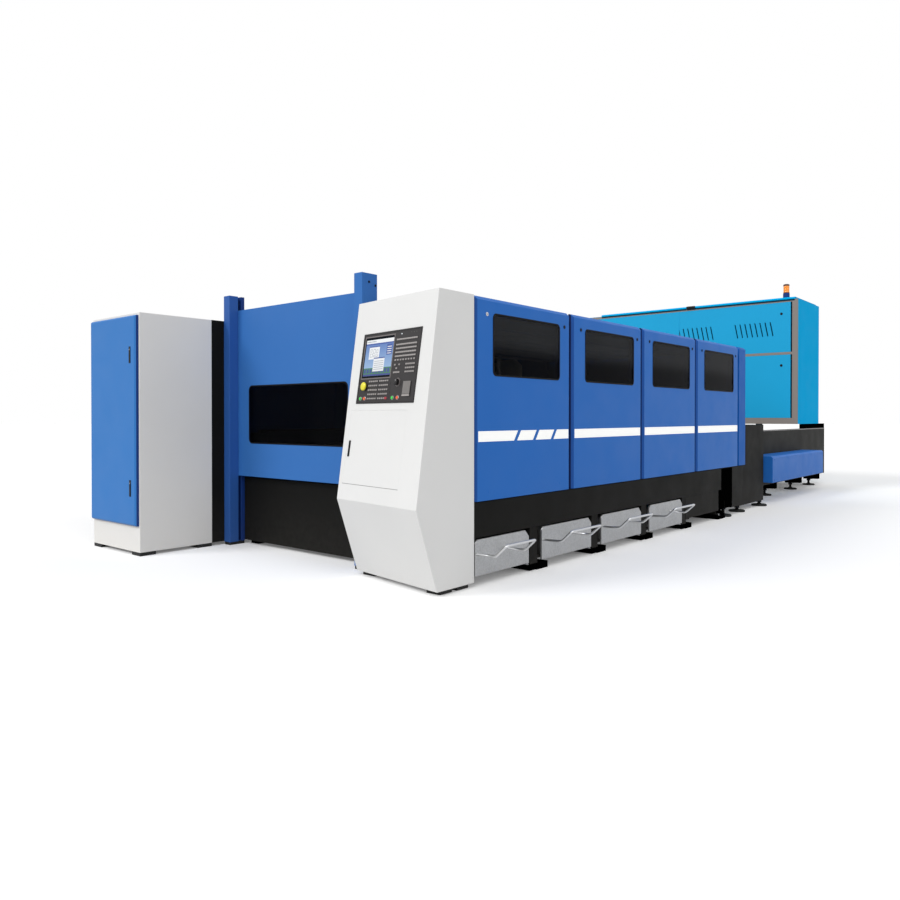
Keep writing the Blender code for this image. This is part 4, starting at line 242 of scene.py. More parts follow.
def block(low, high, round_over=0.0, steps=2):
    """A block between two corners with rounded edges."""
    low = Vector(low)
    high = Vector(high)
    bm = bmesh.new()
    bmesh.ops.create_cube(bm, size=1.0)
    bmesh.ops.scale(bm, vec=high - low, verts=bm.verts)
    bmesh.ops.translate(bm, vec=(low + high) / 2, verts=bm.verts)
    if round_over:
        bmesh.ops.bevel(bm, geom=bm.edges[:], offset=round_over, segments=steps, profile=0.5,
                        affect="EDGES", clamp_overlap=True)
    return bm


def slab(outline, low, high, round_over=0.0):
    """An outline in x and y, given a thickness along z and rounded on its upper edge."""
    bm = bmesh.new()
    corners = [bm.verts.new((x, y, low)) for x, y in outline]
    face = bm.faces.new(corners)
    face.normal_update()
    if face.normal.z > 0:
        face.normal_flip()
    made = bmesh.ops.extrude_face_region(bm, geom=[face], use_keep_orig=True)
    top = [v for v in made["geom"] if isinstance(v, bmesh.types.BMVert)]
    bmesh.ops.translate(bm, vec=(0, 0, high - low), verts=top)
    bmesh.ops.recalc_face_normals(bm, faces=bm.faces[:])
    if round_over:
        rim = [e for e in bm.edges if all(v in top for v in e.verts)]
        bmesh.ops.bevel(bm, geom=rim, offset=round_over, segments=2, profile=0.5,
                        affect="EDGES", clamp_overlap=True)
    return bm


def lathe(profile, steps=40):
    """Turn (radius, height) points round the z axis; the ends lie on the axis."""
    bm = bmesh.new()
    verts = [bm.verts.new((r, 0, z)) for r, z in profile]
    edges = [bm.edges.new(pair) for pair in zip(verts, verts[1:])]
    bmesh.ops.spin(bm, geom=verts + edges, cent=(0, 0, 0), axis=(0, 0, 1), dvec=(0, 0, 0),
                   angle=2 * math.pi, steps=steps, use_merge=True)
    bmesh.ops.remove_doubles(bm, verts=bm.verts[:], dist=1e-6)
    bmesh.ops.recalc_face_normals(bm, faces=bm.faces[:])
    return bm


def placed(bm, matrix):
    """Carry a shape to its place."""
    bm.transform(matrix)
    if matrix.determinant() < 0:
        bmesh.ops.reverse_faces(bm, faces=bm.faces[:])
    return bm


def at(x, y, z):
    """A move to a place."""
    return Matrix.Translation((x, y, z))


def facing(place, out, up=(0, 0, 1)):
    """A frame whose z axis points out of a surface and whose y axis points up along it."""
    z_axis = Vector(out).normalized()
    x_axis = Vector(up).cross(z_axis).normalized()
    y_axis = z_axis.cross(x_axis)
    turn = Matrix((x_axis, y_axis, z_axis)).transposed().to_4x4()
    return Matrix.Translation(place) @ turn


def rounded_outline(low_x, low_y, high_x, high_y, radius, steps=6):
    """A rectangle with round corners as points."""
    points = []
    centres = ((high_x - radius, high_y - radius), (low_x + radius, high_y - radius),
               (low_x + radius, low_y + radius), (high_x - radius, low_y + radius))
    for quarter, (x, y) in enumerate(centres):
        for step in range(steps + 1):
            angle = (quarter + step / steps) * math.pi / 2
            points.append((x + radius * math.cos(angle), y + radius * math.sin(angle)))
    return points


def coated_mesh(bm, finishes, angle):
    """A shape as a shaded mesh in its finishes."""
    mesh = bpy.data.meshes.new("piece")
    bm.to_mesh(mesh)
    bm.free()
    for finish in finishes:
        mesh.materials.append(FINISH[finish])
    return shaded(mesh, angle)


def assembled(parts, angle=35.0):
    """One mesh from several (shape, finish) pairs."""
    finishes = []
    whole = bmesh.new()
    for bm, finish in parts:
        if finish not in finishes:
            finishes.append(finish)
        for face in bm.faces:
            face.material_index = finishes.index(finish)
        part = bpy.data.meshes.new("part")
        bm.to_mesh(part)
        bm.free()
        whole.from_mesh(part)
        bpy.data.meshes.remove(part)
    return coated_mesh(whole, finishes, angle)


def piece(name, mesh, body, slot, *stands_for):
    """A finished piece: its mesh lies in place, and it rides on a body of the frame."""
    mesh.name = name
    thing = bpy.data.objects.new(name, mesh)
    bpy.context.scene.collection.objects.link(thing)
    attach(thing, body)
    if stands_for:
        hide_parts(*stands_for)


def merged_copy(node):
    """A copy of a node's mesh with its loose triangles joined into whole faces."""
    bm = bmesh.new()
    bm.from_mesh(frame["nodes"][node].data)
    bmesh.ops.remove_doubles(bm, verts=bm.verts[:], dist=0.00004)
    bmesh.ops.dissolve_limit(bm, angle_limit=math.radians(0.4), verts=bm.verts[:],
                             edges=bm.edges[:], delimit=set())
    return bm


def softened(node, finishes, radius, least_face=0.006, rule=None, angle=35.0, cuts=()):
    """A node's copy with its long outer edges rounded, as folded or ground metal has them.

    The rule says which of the finishes a face takes, from its centre and its normal. The
    cuts are planes, each a point and a normal, that part the faces so that a finish can end there.
    """
    bm = merged_copy(node)
    sharp = []
    for edge in bm.edges:
        if len(edge.link_faces) != 2 or not edge.is_convex:
            continue
        areas = [face.calc_area() for face in edge.link_faces]
        if edge.calc_face_angle(0.0) > math.radians(20) and min(areas) >= least_face:
            sharp.append(edge)
    if sharp:
        bmesh.ops.bevel(bm, geom=sharp, offset=radius, segments=3, profile=0.5,
                        affect="EDGES", clamp_overlap=False, loop_slide=True)
    for point, normal in cuts:
        bmesh.ops.bisect_plane(bm, geom=bm.verts[:] + bm.edges[:] + bm.faces[:], dist=0.00002,
                               plane_co=point, plane_no=normal)
    for face in bm.faces:
        face.material_index = rule(face.calc_center_median(), face.normal) if rule else 0
    return coated_mesh(bm, finishes, angle)


def rubber_below(height):
    """A rule that gives a casing's feet the second finish."""
    return lambda centre, normal: 1 if centre.z < height else 0


def skin(name, node, body, slot, finishes, radius, **settings):
    """A piece that stands for a node: the node's softened copy."""
    piece(name, softened(node, finishes, radius, **settings), body, slot, node)


# Geometry Nodes for what repeats or follows a path

TREES = {}


def new_tree(name, lengths, counts=()):
    """A tree with a geometry input and output, and named inputs for its sizes and finish."""
    tree = bpy.data.node_groups.new(name, "GeometryNodeTree")
    for label, kind in (("Geometry", "Geometry"), *((label, "Int") for label in counts),
                        *((label, "Float") for label in lengths), ("Finish", "Material")):
        tree.interface.new_socket(label, in_out="INPUT", socket_type=f"NodeSocket{kind}")
    tree.interface.new_socket("Geometry", in_out="OUTPUT", socket_type="NodeSocketGeometry")
    return tree, add(tree, "NodeGroupInput").outputs


def close_tree(tree, given, geometry):
    """End a tree with real geometry in one finish."""
    real = add(tree, "GeometryNodeRealizeInstances", {"Geometry": geometry}).outputs[0]
    made = add(tree, "GeometryNodeSetMaterial", {"Geometry": real, "Material": given["Finish"]})
    add(tree, "NodeGroupOutput", {"Geometry": made.outputs[0]})
    return tree


def moved(tree, geometry, **changes):
    """Geometry with a translation, a rotation or a scale."""
    inputs = {name.capitalize(): change for name, change in changes.items()}
    return add(tree, "GeometryNodeTransform", {"Geometry": geometry, **inputs}).outputs[0]


def joined(tree, *parts):
    """Several geometries as one."""
    whole = add(tree, "GeometryNodeJoinGeometry")
    for part in parts:
        tree.links.new(part, whole.inputs[0])
    return whole.outputs[0]


def row_of_points(tree, count, step):
    """A straight line of points, a step apart."""
    return add(tree, "GeometryNodeMeshLine", {"Count": count, "Offset": step},
               mode="OFFSET").outputs[0]


def on_points(tree, points, instance, **more):
    """A copy of a geometry on every point."""
    return add(tree, "GeometryNodeInstanceOnPoints", {"Points": points, "Instance": instance,
                                                      **more}).outputs[0]


def grown(kind, finish, seed, values):
    """What a tree makes from a seed mesh, in one finish, as a plain mesh."""
    thing = in_scene(seed)
    modifier = thing.modifiers.new(kind, "NODES")
    modifier.node_group = TREES[kind]
    values = {**values, "Finish": FINISH[finish]}
    for item in TREES[kind].interface.items_tree:
        if item.item_type == "SOCKET" and item.in_out == "INPUT" and item.name in values:
            modifier[item.identifier] = values[item.name]
    return evaluated(thing)


def as_shape(mesh, matrix):
    """A grown mesh as a shape, carried to its place."""
    bm = bmesh.new()
    bm.from_mesh(mesh)
    bpy.data.meshes.remove(mesh)
    return placed(bm, matrix)


def points_mesh(places, aims):
    """Points with the direction that each one's fastener faces."""
    mesh = bpy.data.meshes.new("points")
    mesh.from_pydata([tuple(place) for place in places], [], [])
    attribute = mesh.attributes.new("aim", "FLOAT_VECTOR", "POINT")
    for item, aim in zip(attribute.data, aims):
        item.vector = aim
    return mesh


def loop_mesh(outline):
    """A closed line for a seal to follow."""
    count = len(outline)
    mesh = bpy.data.meshes.new("loop")
    mesh.from_pydata([(x, y, 0.0) for x, y in outline],
                     [(i, (i + 1) % count) for i in range(count)], [])
    return mesh


def empty_seed():
    """A seed for trees that need no input shape."""
    return bpy.data.meshes.new("seed")


def bolt_tree():
    """Hexagon heads on flat washers, one at each point, facing its aim."""
    tree, given = new_tree("Hexagon bolts", ("Across flats", "Head height", "Washer radius",
                                             "Washer thickness"))
    flats = given["Across flats"]
    tall = given["Head height"]
    thin = given["Washer thickness"]

    def disc(sides, radius, depth, middle):
        made = add(tree, "GeometryNodeMeshCylinder", {"Vertices": sides, "Radius": radius,
                                                      "Depth": depth}).outputs["Mesh"]
        return moved(tree, made, translation=vector(tree, z=middle))

    head = disc(6, maths(tree, "MULTIPLY", flats, 1 / math.sqrt(3)), tall,
                maths(tree, "MULTIPLY_ADD", tall, 0.5, thin))
    crown = disc(16, maths(tree, "MULTIPLY", flats, 0.46), tall,
                 maths(tree, "MULTIPLY_ADD", tall, 0.58, thin))
    washer = disc(20, given["Washer radius"], thin, maths(tree, "MULTIPLY", thin, 0.5))
    aim = add(tree, "GeometryNodeInputNamedAttribute", {"Name": "aim"}, data_type="FLOAT_VECTOR")
    turn = add(tree, "FunctionNodeAlignRotationToVector", {"Vector": aim.outputs["Attribute"]},
               axis="Z").outputs[0]
    whole = joined(tree, head, crown, washer)
    return close_tree(tree, given, on_points(tree, given["Geometry"], whole, Rotation=turn))


def seal_tree():
    """A rounded rubber profile that follows a closed line lying flat."""
    tree, given = new_tree("Seal on a line", ("Profile width", "Profile height", "Round over"))
    line = add(tree, "GeometryNodeMeshToCurve", {"Mesh": given["Geometry"]}).outputs[0]
    level = add(tree, "GeometryNodeSetCurveNormal", {"Curve": line}, mode="Z_UP").outputs[0]
    section = add(tree, "GeometryNodeCurvePrimitiveQuadrilateral",
                  {"Width": given["Profile width"], "Height": given["Profile height"]}).outputs[0]
    soft = add(tree, "GeometryNodeFilletCurve", {"Curve": section, "Count": 2,
                                                 "Radius": given["Round over"]}, mode="POLY")
    body = add(tree, "GeometryNodeCurveToMesh", {"Curve": level, "Profile Curve": soft.outputs[0]})
    return close_tree(tree, given, body.outputs[0])


def key_tree():
    """Key caps with sloping flanks, one on each point of a keypad that lies flat."""
    tree, given = new_tree("Keypad", ("Key width", "Key height", "Key rise"))
    cap = add(tree, "GeometryNodeMeshCone",
              {"Vertices": 4, "Radius Top": 0.60, "Radius Bottom": math.sqrt(0.5),
               "Depth": 1.0}).outputs["Mesh"]
    square = moved(tree, cap, rotation=(0, 0, math.pi / 4))
    size = vector(tree, x=given["Key width"], y=given["Key height"], z=given["Key rise"])
    sized = moved(tree, square, scale=size)
    return close_tree(tree, given, on_points(tree, given["Geometry"], sized))


def blade_tree():
    """A row of leaning blades, as behind a group of vent slots or along a finger grip."""
    tree, given = new_tree("Blade row", ("Pitch", "Blade width", "Blade depth", "Blade length",
                                         "Lean", "Tilt"), ("Count",))
    size = vector(tree, x=given["Blade width"], y=given["Blade depth"], z=given["Blade length"])
    blade = add(tree, "GeometryNodeMeshCube", {"Size": size}).outputs["Mesh"]
    tilted = moved(tree, blade, rotation=vector(tree, z=given["Tilt"]))
    leaning = moved(tree, tilted, rotation=vector(tree, y=given["Lean"]))
    line = row_of_points(tree, given["Count"], vector(tree, x=given["Pitch"]))
    return close_tree(tree, given, on_points(tree, line, leaning))


def tick_tree():
    """Graduation marks round a dial that lies flat."""
    tree, given = new_tree("Dial marks", ("Ring radius", "Tick length", "Tick width", "Tick rise"),
                           ("Ticks",))
    ring = add(tree, "GeometryNodeMeshCircle", {"Vertices": given["Ticks"],
                                                "Radius": given["Ring radius"]}).outputs[0]
    size = vector(tree, x=given["Tick length"], y=given["Tick width"], z=given["Tick rise"])
    mark = add(tree, "GeometryNodeMeshCube", {"Size": size}).outputs["Mesh"]
    outward = add(tree, "GeometryNodeInputPosition").outputs[0]
    turn = add(tree, "FunctionNodeAlignRotationToVector", {"Vector": outward},
               axis="X", pivot_axis="Z").outputs[0]
    return close_tree(tree, given, on_points(tree, ring, mark, Rotation=turn))


def slat_tree():
    """Serrated support slats: a toothed strip from a rule, repeated along the pallet."""
    tree, given = new_tree("Serrated slats", ("Slat pitch", "Half tooth", "Tooth height",
                                              "Slat height", "Slat thickness"),
                           ("Slat count", "Points"))
    edge = row_of_points(tree, given["Points"], vector(tree, x=given["Half tooth"]))
    index = add(tree, "GeometryNodeInputIndex").outputs[0]
    odd = maths(tree, "MODULO", index, 2.0)
    lift = vector(tree, z=maths(tree, "MULTIPLY", odd, given["Tooth height"]))
    toothed = add(tree, "GeometryNodeSetPosition", {"Geometry": edge, "Offset": lift}).outputs[0]
    drop = maths(tree, "MULTIPLY", given["Slat height"], -1.0)
    strip = add(tree, "GeometryNodeExtrudeMesh", {"Mesh": toothed, "Offset": vector(tree, z=drop),
                                                  "Offset Scale": 1.0}, mode="EDGES")
    place = add(tree, "GeometryNodeInputPosition").outputs[0]
    parts = add(tree, "ShaderNodeSeparateXYZ", {0: place}).outputs
    flat = vector(tree, x=parts[0], y=parts[1], z=drop)
    low = add(tree, "FunctionNodeCompare", {0: parts[2], 1: 0.0}, data_type="FLOAT",
              operation="LESS_THAN").outputs[0]
    sheet = add(tree, "GeometryNodeSetPosition", {"Geometry": strip.outputs["Mesh"],
                                                  "Selection": low, "Position": flat}).outputs[0]
    thick = vector(tree, y=given["Slat thickness"])
    swept = add(tree, "GeometryNodeExtrudeMesh", {"Mesh": sheet, "Offset": thick,
                                                  "Offset Scale": 1.0, "Individual": False},
                mode="FACES").outputs["Mesh"]
    back = add(tree, "GeometryNodeFlipFaces", {"Mesh": sheet}).outputs[0]
    solid = add(tree, "GeometryNodeMergeByDistance", {"Geometry": joined(tree, swept, back),
                                                      "Distance": 0.0001}).outputs[0]
    line = row_of_points(tree, given["Slat count"], vector(tree, y=given["Slat pitch"]))
    return close_tree(tree, given, on_points(tree, line, solid))


# Finishes

def new_finish(name):
    """An empty material, its tree and the object's own coordinates."""
    material = bpy.data.materials.new(name)
    material.use_nodes = True
    tree = material.node_tree
    tree.nodes.clear()
    return material, tree, add(tree, "ShaderNodeTexCoord").outputs["Object"]


def surfaced(material, inputs):
    """A material ended with its surface."""
    shader = add(material.node_tree, "ShaderNodeBsdfPrincipled", inputs)
    add(material.node_tree, "ShaderNodeOutputMaterial", {"Surface": shader.outputs[0]})
    return material


def enamel(name, colour, roughness, grain_mm, grain_depth_mm, specular=0.2, dust=0.05):
    """Sprayed or powder-coated enamel on folded sheet: even colour, a fine skin and some dust low down.

    The grain is drawn at its real size or coarser, so that a close view shows it.
    """
    material, tree, place = new_finish(name)
    coat = blend(tree, noise(tree, place, 1.3, 3.0), scaled(colour, 0.955), scaled(colour, 1.045))
    low = mapped(tree, height_at(tree, place), dust, 0.0, 0.0, 0.5)
    film = maths(tree, "MULTIPLY", low, noise(tree, place, 23.0, 5.0))
    dusty = blend(tree, film, coat, scaled("#9A938A"))
    dull = mapped(tree, noise(tree, place, 4.0, 2.0), roughness - 0.04, roughness + 0.05, 0.3, 0.7)
    grain = noise(tree, place, 1000.0 / grain_mm, 2.0)
    return surfaced(material, {"Base Color": dusty, "Roughness": dull,
                               "Normal": relief(tree, grain, 0.5, grain_depth_mm / 1000.0),
                               "Specular IOR Level": specular, "IOR": 1.5})


def zinc_sheet(name, colour, spangle_mm, roughness):
    """Hot-dip galvanised sheet: a grey metal of faint crystal patches, dull where it was handled."""
    material, tree, place = new_finish(name)
    patches = add(tree, "ShaderNodeTexVoronoi", {"Vector": place, "Scale": 1000.0 / spangle_mm,
                                                 "Randomness": 1.0}).outputs
    tone = add(tree, "ShaderNodeSeparateColor", {0: patches["Color"]}).outputs[0]
    mixed = maths(tree, "ADD", tone, noise(tree, place, 9.0, 6.0))
    shade = mapped(tree, mixed, 0.0, 1.0, 0.3, 1.5)
    return surfaced(material, {"Base Color": blend(tree, shade, scaled(colour, 0.89),
                                                   scaled(colour, 1.09)),
                               "Roughness": mapped(tree, shade, roughness + 0.08, roughness - 0.06),
                               "Metallic": 0.85,
                               "Normal": relief(tree, patches["Distance"], 0.25, 0.0002)})


def worked_steel(name, colour, roughness, line_mm, stretch, stain=0.0):
    """Rolled, turned or ground steel: fine lines along the work and, on the pallets, spatter stains."""
    material, tree, place = new_finish(name)
    along = add(tree, "ShaderNodeMapping", {"Vector": place, "Scale": stretch}).outputs[0]
    lines = noise(tree, along, 1000.0 / line_mm, 3.0)
    spread = mapped(tree, noise(tree, place, 11.0, 6.0, 0.65), 0.0, stain, 0.48, 0.66)
    bare = blend(tree, lines, scaled(colour, 0.88), scaled(colour, 1.10))
    return surfaced(material, {"Base Color": blend(tree, spread, bare, scaled("#3B2F28")),
                               "Roughness": mapped(tree, lines, roughness - 0.07, roughness + 0.09),
                               "Metallic": 1.0, "Normal": relief(tree, lines, 0.2, 0.0002)})


def moulded(name, colour, roughness, specular=0.5, glow=0.0, grain_mm=1.5, depth_mm=0.05):
    """Moulded plastic or rubber: one colour through, with the mould's fine grain."""
    material, tree, place = new_finish(name)
    grain = noise(tree, place, 1000.0 / grain_mm, 2.0)
    cloud = noise(tree, place, 35.0, 2.0)
    return surfaced(material, {"Base Color": blend(tree, cloud, scaled(colour, 0.94),
                                                   scaled(colour, 1.05)),
                               "Roughness": mapped(tree, grain, roughness - 0.05, roughness + 0.05),
                               "Normal": relief(tree, grain, 0.3, depth_mm / 1000.0),
                               "Specular IOR Level": specular, "IOR": 1.5,
                               "Emission Color": scaled(colour), "Emission Strength": glow})


def tinted_pane(name, colour, roughness, seen_through, upper=None, span=(0.0, 1.0)):
    """Dark tinted acrylic, polished: it mirrors the room faintly and shows little of what is behind.

    An upper colour makes the tint run paler towards the top of the given span of heights; that paler top
    is painted light.
    """
    material, tree, place = new_finish(name)
    share = mapped(tree, height_at(tree, place), 0.0, 1.0, *span, interpolation_type="SMOOTHSTEP")
    tint = blend(tree, share, scaled(colour), scaled(upper or colour))
    haze = noise(tree, place, 3.0, 2.0)
    tone = add(tree, "ShaderNodeVectorMath", {0: tint, "Scale": mapped(tree, haze, 0.8, 1.25)},
               operation="SCALE").outputs[0]
    return surfaced(material, {"Base Color": tone, "IOR": 1.49, "Specular IOR Level": 0.02,
                               "Roughness": mapped(tree, haze, roughness, roughness + 0.05),
                               "Alpha": 1.0 - seen_through})


def lit_area(name, low_colour, high_colour, low_z, high_z, strength):
    """Part of a lit display: it glows, and its colour runs evenly from its lower to its upper edge."""
    material, tree, place = new_finish(name)
    share = mapped(tree, height_at(tree, place), 0.0, 1.0, low_z, high_z)
    tone = blend(tree, share, scaled(low_colour), scaled(high_colour))
    return surfaced(material, {"Base Color": (0.01, 0.01, 0.012, 1.0), "Roughness": 0.25,
                               "IOR": 1.5, "Emission Color": tone, "Emission Strength": strength})


def lens(name, colour, ring_pitch):
    """Moulded polycarbonate of a warning light: glossy and ringed, a little light comes through."""
    material, tree, place = new_finish(name)
    wave = maths(tree, "SINE", maths(tree, "MULTIPLY", height_at(tree, place),
                                     2 * math.pi / ring_pitch))
    share = mapped(tree, wave, 0.0, 1.0, -1.0, 1.0)
    return surfaced(material, {"Base Color": blend(tree, share, scaled(colour, 0.78),
                                                   scaled(colour, 1.18)),
                               "Roughness": 0.16, "IOR": 1.58,
                               "Normal": relief(tree, share, 0.5, 0.0015),
                               "Emission Color": scaled(colour), "Emission Strength": 0.25})


FINISH = {}


def coats(colours):
    """Enamels: name, colour, roughness, grain and its depth in mm, specular and dust.

    Powder coat on sheet steel has an orange-peel skin of 2 to 3 mm cells, drawn at 6 mm.
    Textured coat on casings and castings is a wrinkle of about 1 mm, drawn at 3 and 4 mm.
    """
    bed = colours.bed
    return {
        "side_blue": ("powder_coat_side_blue", colours.side_doors, 0.50, 6.0, 0.10),
        "lift_blue": ("powder_coat_front_blue", colours.lift_door, 0.50, 6.0, 0.10),
        "cabinet_blue": ("powder_coat_cabinet_blue", colours.cabinet_door, 0.50, 6.0, 0.10),
        # Painted shade on edges, frames and grooves, and the beacon foot's own dark blue.
        "edge_blue": ("powder_coat_edge_blue", colours.hinge_edge_shade, 0.52, 6.0, 0.10),
        # Painted shade: the darker blue of the side doors' hinge-edge chamfers.
        "bevel_blue": ("powder_coat_bevel_blue", "#184E9A", 0.52, 6.0, 0.10),
        # Painted shade: a darker copy of the lift door's blue, for the left guide post.
        "post_blue": ("powder_coat_post_blue", colours.left_post_shaded, 0.50, 6.0, 0.10),
        # Painted shade: a darker blue for the enclosure's end panel.
        "end_blue": ("powder_coat_end_blue", colours.end_sheet_shaded, 0.55, 6.0, 0.10, 0.12),
        "housing_front": ("powder_coat_cyan_front", colours.housing_front, 0.50, 6.0, 0.12),
        "housing_side": ("powder_coat_cyan_shell", colours.housing_side, 0.62, 6.0, 0.12, 0.02),
        "housing_tube": ("powder_coat_warm_grey", colours.housing_frame, 0.52, 5.0, 0.10),
        "machine_grey": ("machine_enamel_grey", "#8F9496", 0.42, 5.0, 0.12),
        "pale": ("textured_coat_pale_grey", colours.pale_sheet, 0.50, 3.0, 0.12, 0.3),
        "cabinet_pale": ("textured_coat_cabinet_grey", "#E5E3DF", 0.50, 3.0, 0.12, 0.3),
        "bed_black": ("textured_coat_black", bed, 0.58, 4.0, 0.25, 0.06),
        "table_black": ("textured_coat_table_black", scaled(bed, 2.6), 0.58, 4.0, 0.25, 0.06),
        # Painted shade: a near-black for bed legs, column sheets, brackets and supports that lie in
        # shadow.
        "shade_black": ("textured_coat_deep_black", scaled(bed, 0.10), 0.70, 4.0, 0.25, 0.0, 0.0),
    }


def mouldings(colours):
    """Plastics and rubbers: name, colour, roughness, specular, glow, grain and its depth in mm.

    The stripe is reflective vinyl, and its glow is painted light.
    """
    return {
        "foot_black": ("rubber_foot", "#1B1B1B", 0.65, 0.3),
        "dark_bolt": ("black_oxide_steel", "#0E111C", 0.55, 0.18),
        "seal": ("seal_rubber", "#0B0B0C", 0.62, 0.12),
        # Painted shade: a dark teal for the gaps under the lids and behind the louvres.
        "lid_seal": ("lid_seal_rubber", "#083244", 0.62, 0.12),
        # Painted shade: the dark navy on the side doors' near side faces, in the gaps between the doors.
        "edge_seal": ("edge_seal_rubber", "#061B4C", 0.60, 0.12),
        # The stripe's glow is painted light.
        "vinyl": ("reflective_vinyl_stripe", colours.stripe, 0.40, 0.5, 0.3, 4.0, 0.02),
        "panel": ("printed_panel_overlay", colours.panel, 0.45, 0.35, 0.0, 1.2, 0.04),
        "panel_rim": ("panel_rim_plastic", "#191718", 0.40, 0.3),
        "key": ("key_cap_plastic", colours.keys, 0.45),
        "key_dim": ("key_cap_dim", "#6E6867", 0.45),
        "red": ("red_key_plastic", "#A32634", 0.40),
        "green": ("green_button_plastic", "#3CCB4E", 0.30, 0.5, 0.12),
        "orange": ("orange_button_plastic", "#F0602A", 0.30, 0.5, 0.12),
        "yellow": ("yellow_stop_plastic", "#E9DF35", 0.30),
        "latch": ("black_latch_plastic", "#0A0B0D", 0.52, 0.18),
        # Painted shade: the grey of the console door's seam.
        "gasket": ("seam_gasket_grey", "#8C8C8C", 0.55, 0.3),
        "ribbed": ("ribbed_grey_plastic", "#8E8A88", 0.50),
        "lamp": ("indicator_lamp", "#E8F0F4", 0.25, 0.5, 0.6),
        "beacon_cap": ("warning_light_cap", "#48220F", 0.40),
    }


# Bare steels: name, colour, roughness, width of a line in mm, stretch of the lines, stain
STEELS = {
    "zinc_rod": ("zinc_plated_rod", "#C9CACB", 0.30, 2.0, (1, 6, 1)),
    "pallet": ("mild_steel_slat", "#7C7771", 0.50, 3.0, (1, 8, 8), 0.75),
    "bright": ("turned_steel", "#C4C5C8", 0.26, 1.2, (1, 1, 9)),
    "bolt": ("zinc_plated_bolt", "#9C9D9F", 0.36, 1.5, (1, 1, 1)),
}


def make_finishes(colours):
    """Every finish of the machine, each named for what it is."""
    for make, table in ((enamel, coats(colours)), (moulded, mouldings(colours)),
                        (worked_steel, STEELS)):
        for key, values in table.items():
            FINISH[key] = make(*values)
    # Spangle of galvanised sheet is 5 to 12 mm across
    FINISH["zinc"] = zinc_sheet("galvanised_sheet", "#A9AAAB", 9.0, 0.42)
    FINISH["glass"] = tinted_pane("tinted_acrylic", "#050507", 0.05, 0.45)
    # The side windows run paler towards the top: painted light.
    low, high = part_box("side_window_1")
    FINISH["side_glass"] = tinted_pane("tinted_film_acrylic", "#040405", 0.05, 0.45, "#343536",
                                       (low.z + 0.15, high.z - 0.18))
    FINISH["screen_glass"] = tinted_pane("display_glass", "#10151C", 0.08, 0.0)
    FINISH["beacon"] = lens("warning_light_lens", "#F08C1E", 0.009)


def four(name):
    """The names of four like nodes."""
    return [f"{name}_{number}" for number in range(1, 5)]


# The nodes of the frame that carry each finish
CARRIED = {
    "bed_black": ("bed_frame", "front_skirt", "shuttle_bridge", "cable_duct"),
    "table_black": ("shuttle_frame",),
    # Painted shade: the housing's supports are near-black.
    "shade_black": ("support_block", "support_stand"),
    # The front portal and the enclosure's frame take the darker blue as painted shade; the beacon's base
    # is dark blue.
    "edge_blue": ("front_portal", "enclosure_frame", "beacon_base"),
    # The left guide post takes a darker blue: painted shade.
    "post_blue": ("guide_post_left",),
    "lift_blue": ("guide_post_right", "lift_door"),
    "glass": ("lift_window",),
    "side_blue": ("left_wall", "roof_panel", "drive_cover", *four("side_door")),
    "side_glass": four("side_window"),
    # The end panel takes a darker blue: painted shade.
    "end_blue": ("end_panel",),
    "zinc": four("scrap_drawer"),
    "pale": ("console_housing", "console_door", "head_carriage"),
    "panel": ("control_panel",),
    "screen_glass": ("display",),
    "latch": ("console_latch", "cabinet_latch_upper", "cabinet_latch_lower"),
    "yellow": ("emergency_stop",),
    "panel_rim": ("override_dial",),
    "green": ("start_button_left", "start_button_right"),
    "orange": ("halt_button_left", "halt_button_right"),
    "cabinet_pale": ("cabinet_body",),
    "cabinet_blue": ("cabinet_door",),
    "machine_grey": ("gantry_beam",),
    "bright": ("cutting_head", "chain_sprocket_left", "chain_sprocket_right"),
    "pallet": ("pallet_upper", "pallet_lower"),
    "housing_tube": ("housing_frame",),
    "housing_side": ("housing_shell", "housing_lid_left", "housing_lid_right"),
    "housing_front": ("housing_front_panel", "housing_upper_door", "housing_lower_door"),
    "beacon": ("beacon_dome",),
}


def paint_nodes():
    """Give every node of the frame its finish."""
    finish_of = {name: finish for finish, names in CARRIED.items() for name in names}
    for name, thing in frame["nodes"].items():
        thing.data.materials.clear()
        thing.data.materials.append(FINISH[finish_of[name]])


class LASERCUTTER_OT_finishes(bpy.types.Operator):
    """Make the finishes and paint every part of the frame"""
    bl_idname = "lasercutter.finishes"
    bl_label = "Finishes"

    def execute(self, context):
        make_finishes(context.scene.laser_cutter_colours)
        paint_nodes()
        return {"FINISHED"}


# Side doors

# Places on a door, from its hinge edge and its lower edge
WINDOW_LAP = 0.022
SEAL_OFF = 0.0002
HINGE_EDGE = 0.06
STRIPE_ENDS = (0.037, 1.210)
STRIPE_CUTS = (0.504, 0.748, 0.995)
LOCK_PLACES = (0.135, 1.148)
LOCK_RISE = 1.298
PLUG_PLACES = (0.155, 0.62, 1.085)
PLUG_RISE = 0.06


def window_seal(name, door, window, across, outside, corner, sizes):
    """The rubber seal round a door's window; across is the axis along the door."""
    low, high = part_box(window)
    inset = WINDOW_LAP + sizes.seal_width / 4
    line = rounded_outline(low[across] + inset, low.z + inset, high[across] - inset,
                           high.z - inset, corner)
    mesh = grown("seal", "seal", loop_mesh(line),
                 {"Profile width": sizes.seal_width, "Profile height": sizes.seal_height,
                  "Round over": sizes.seal_height * 0.35})
    piece(name, assembled([(as_shape(mesh, outside), "seal")]), door, "black_latch_plastic")


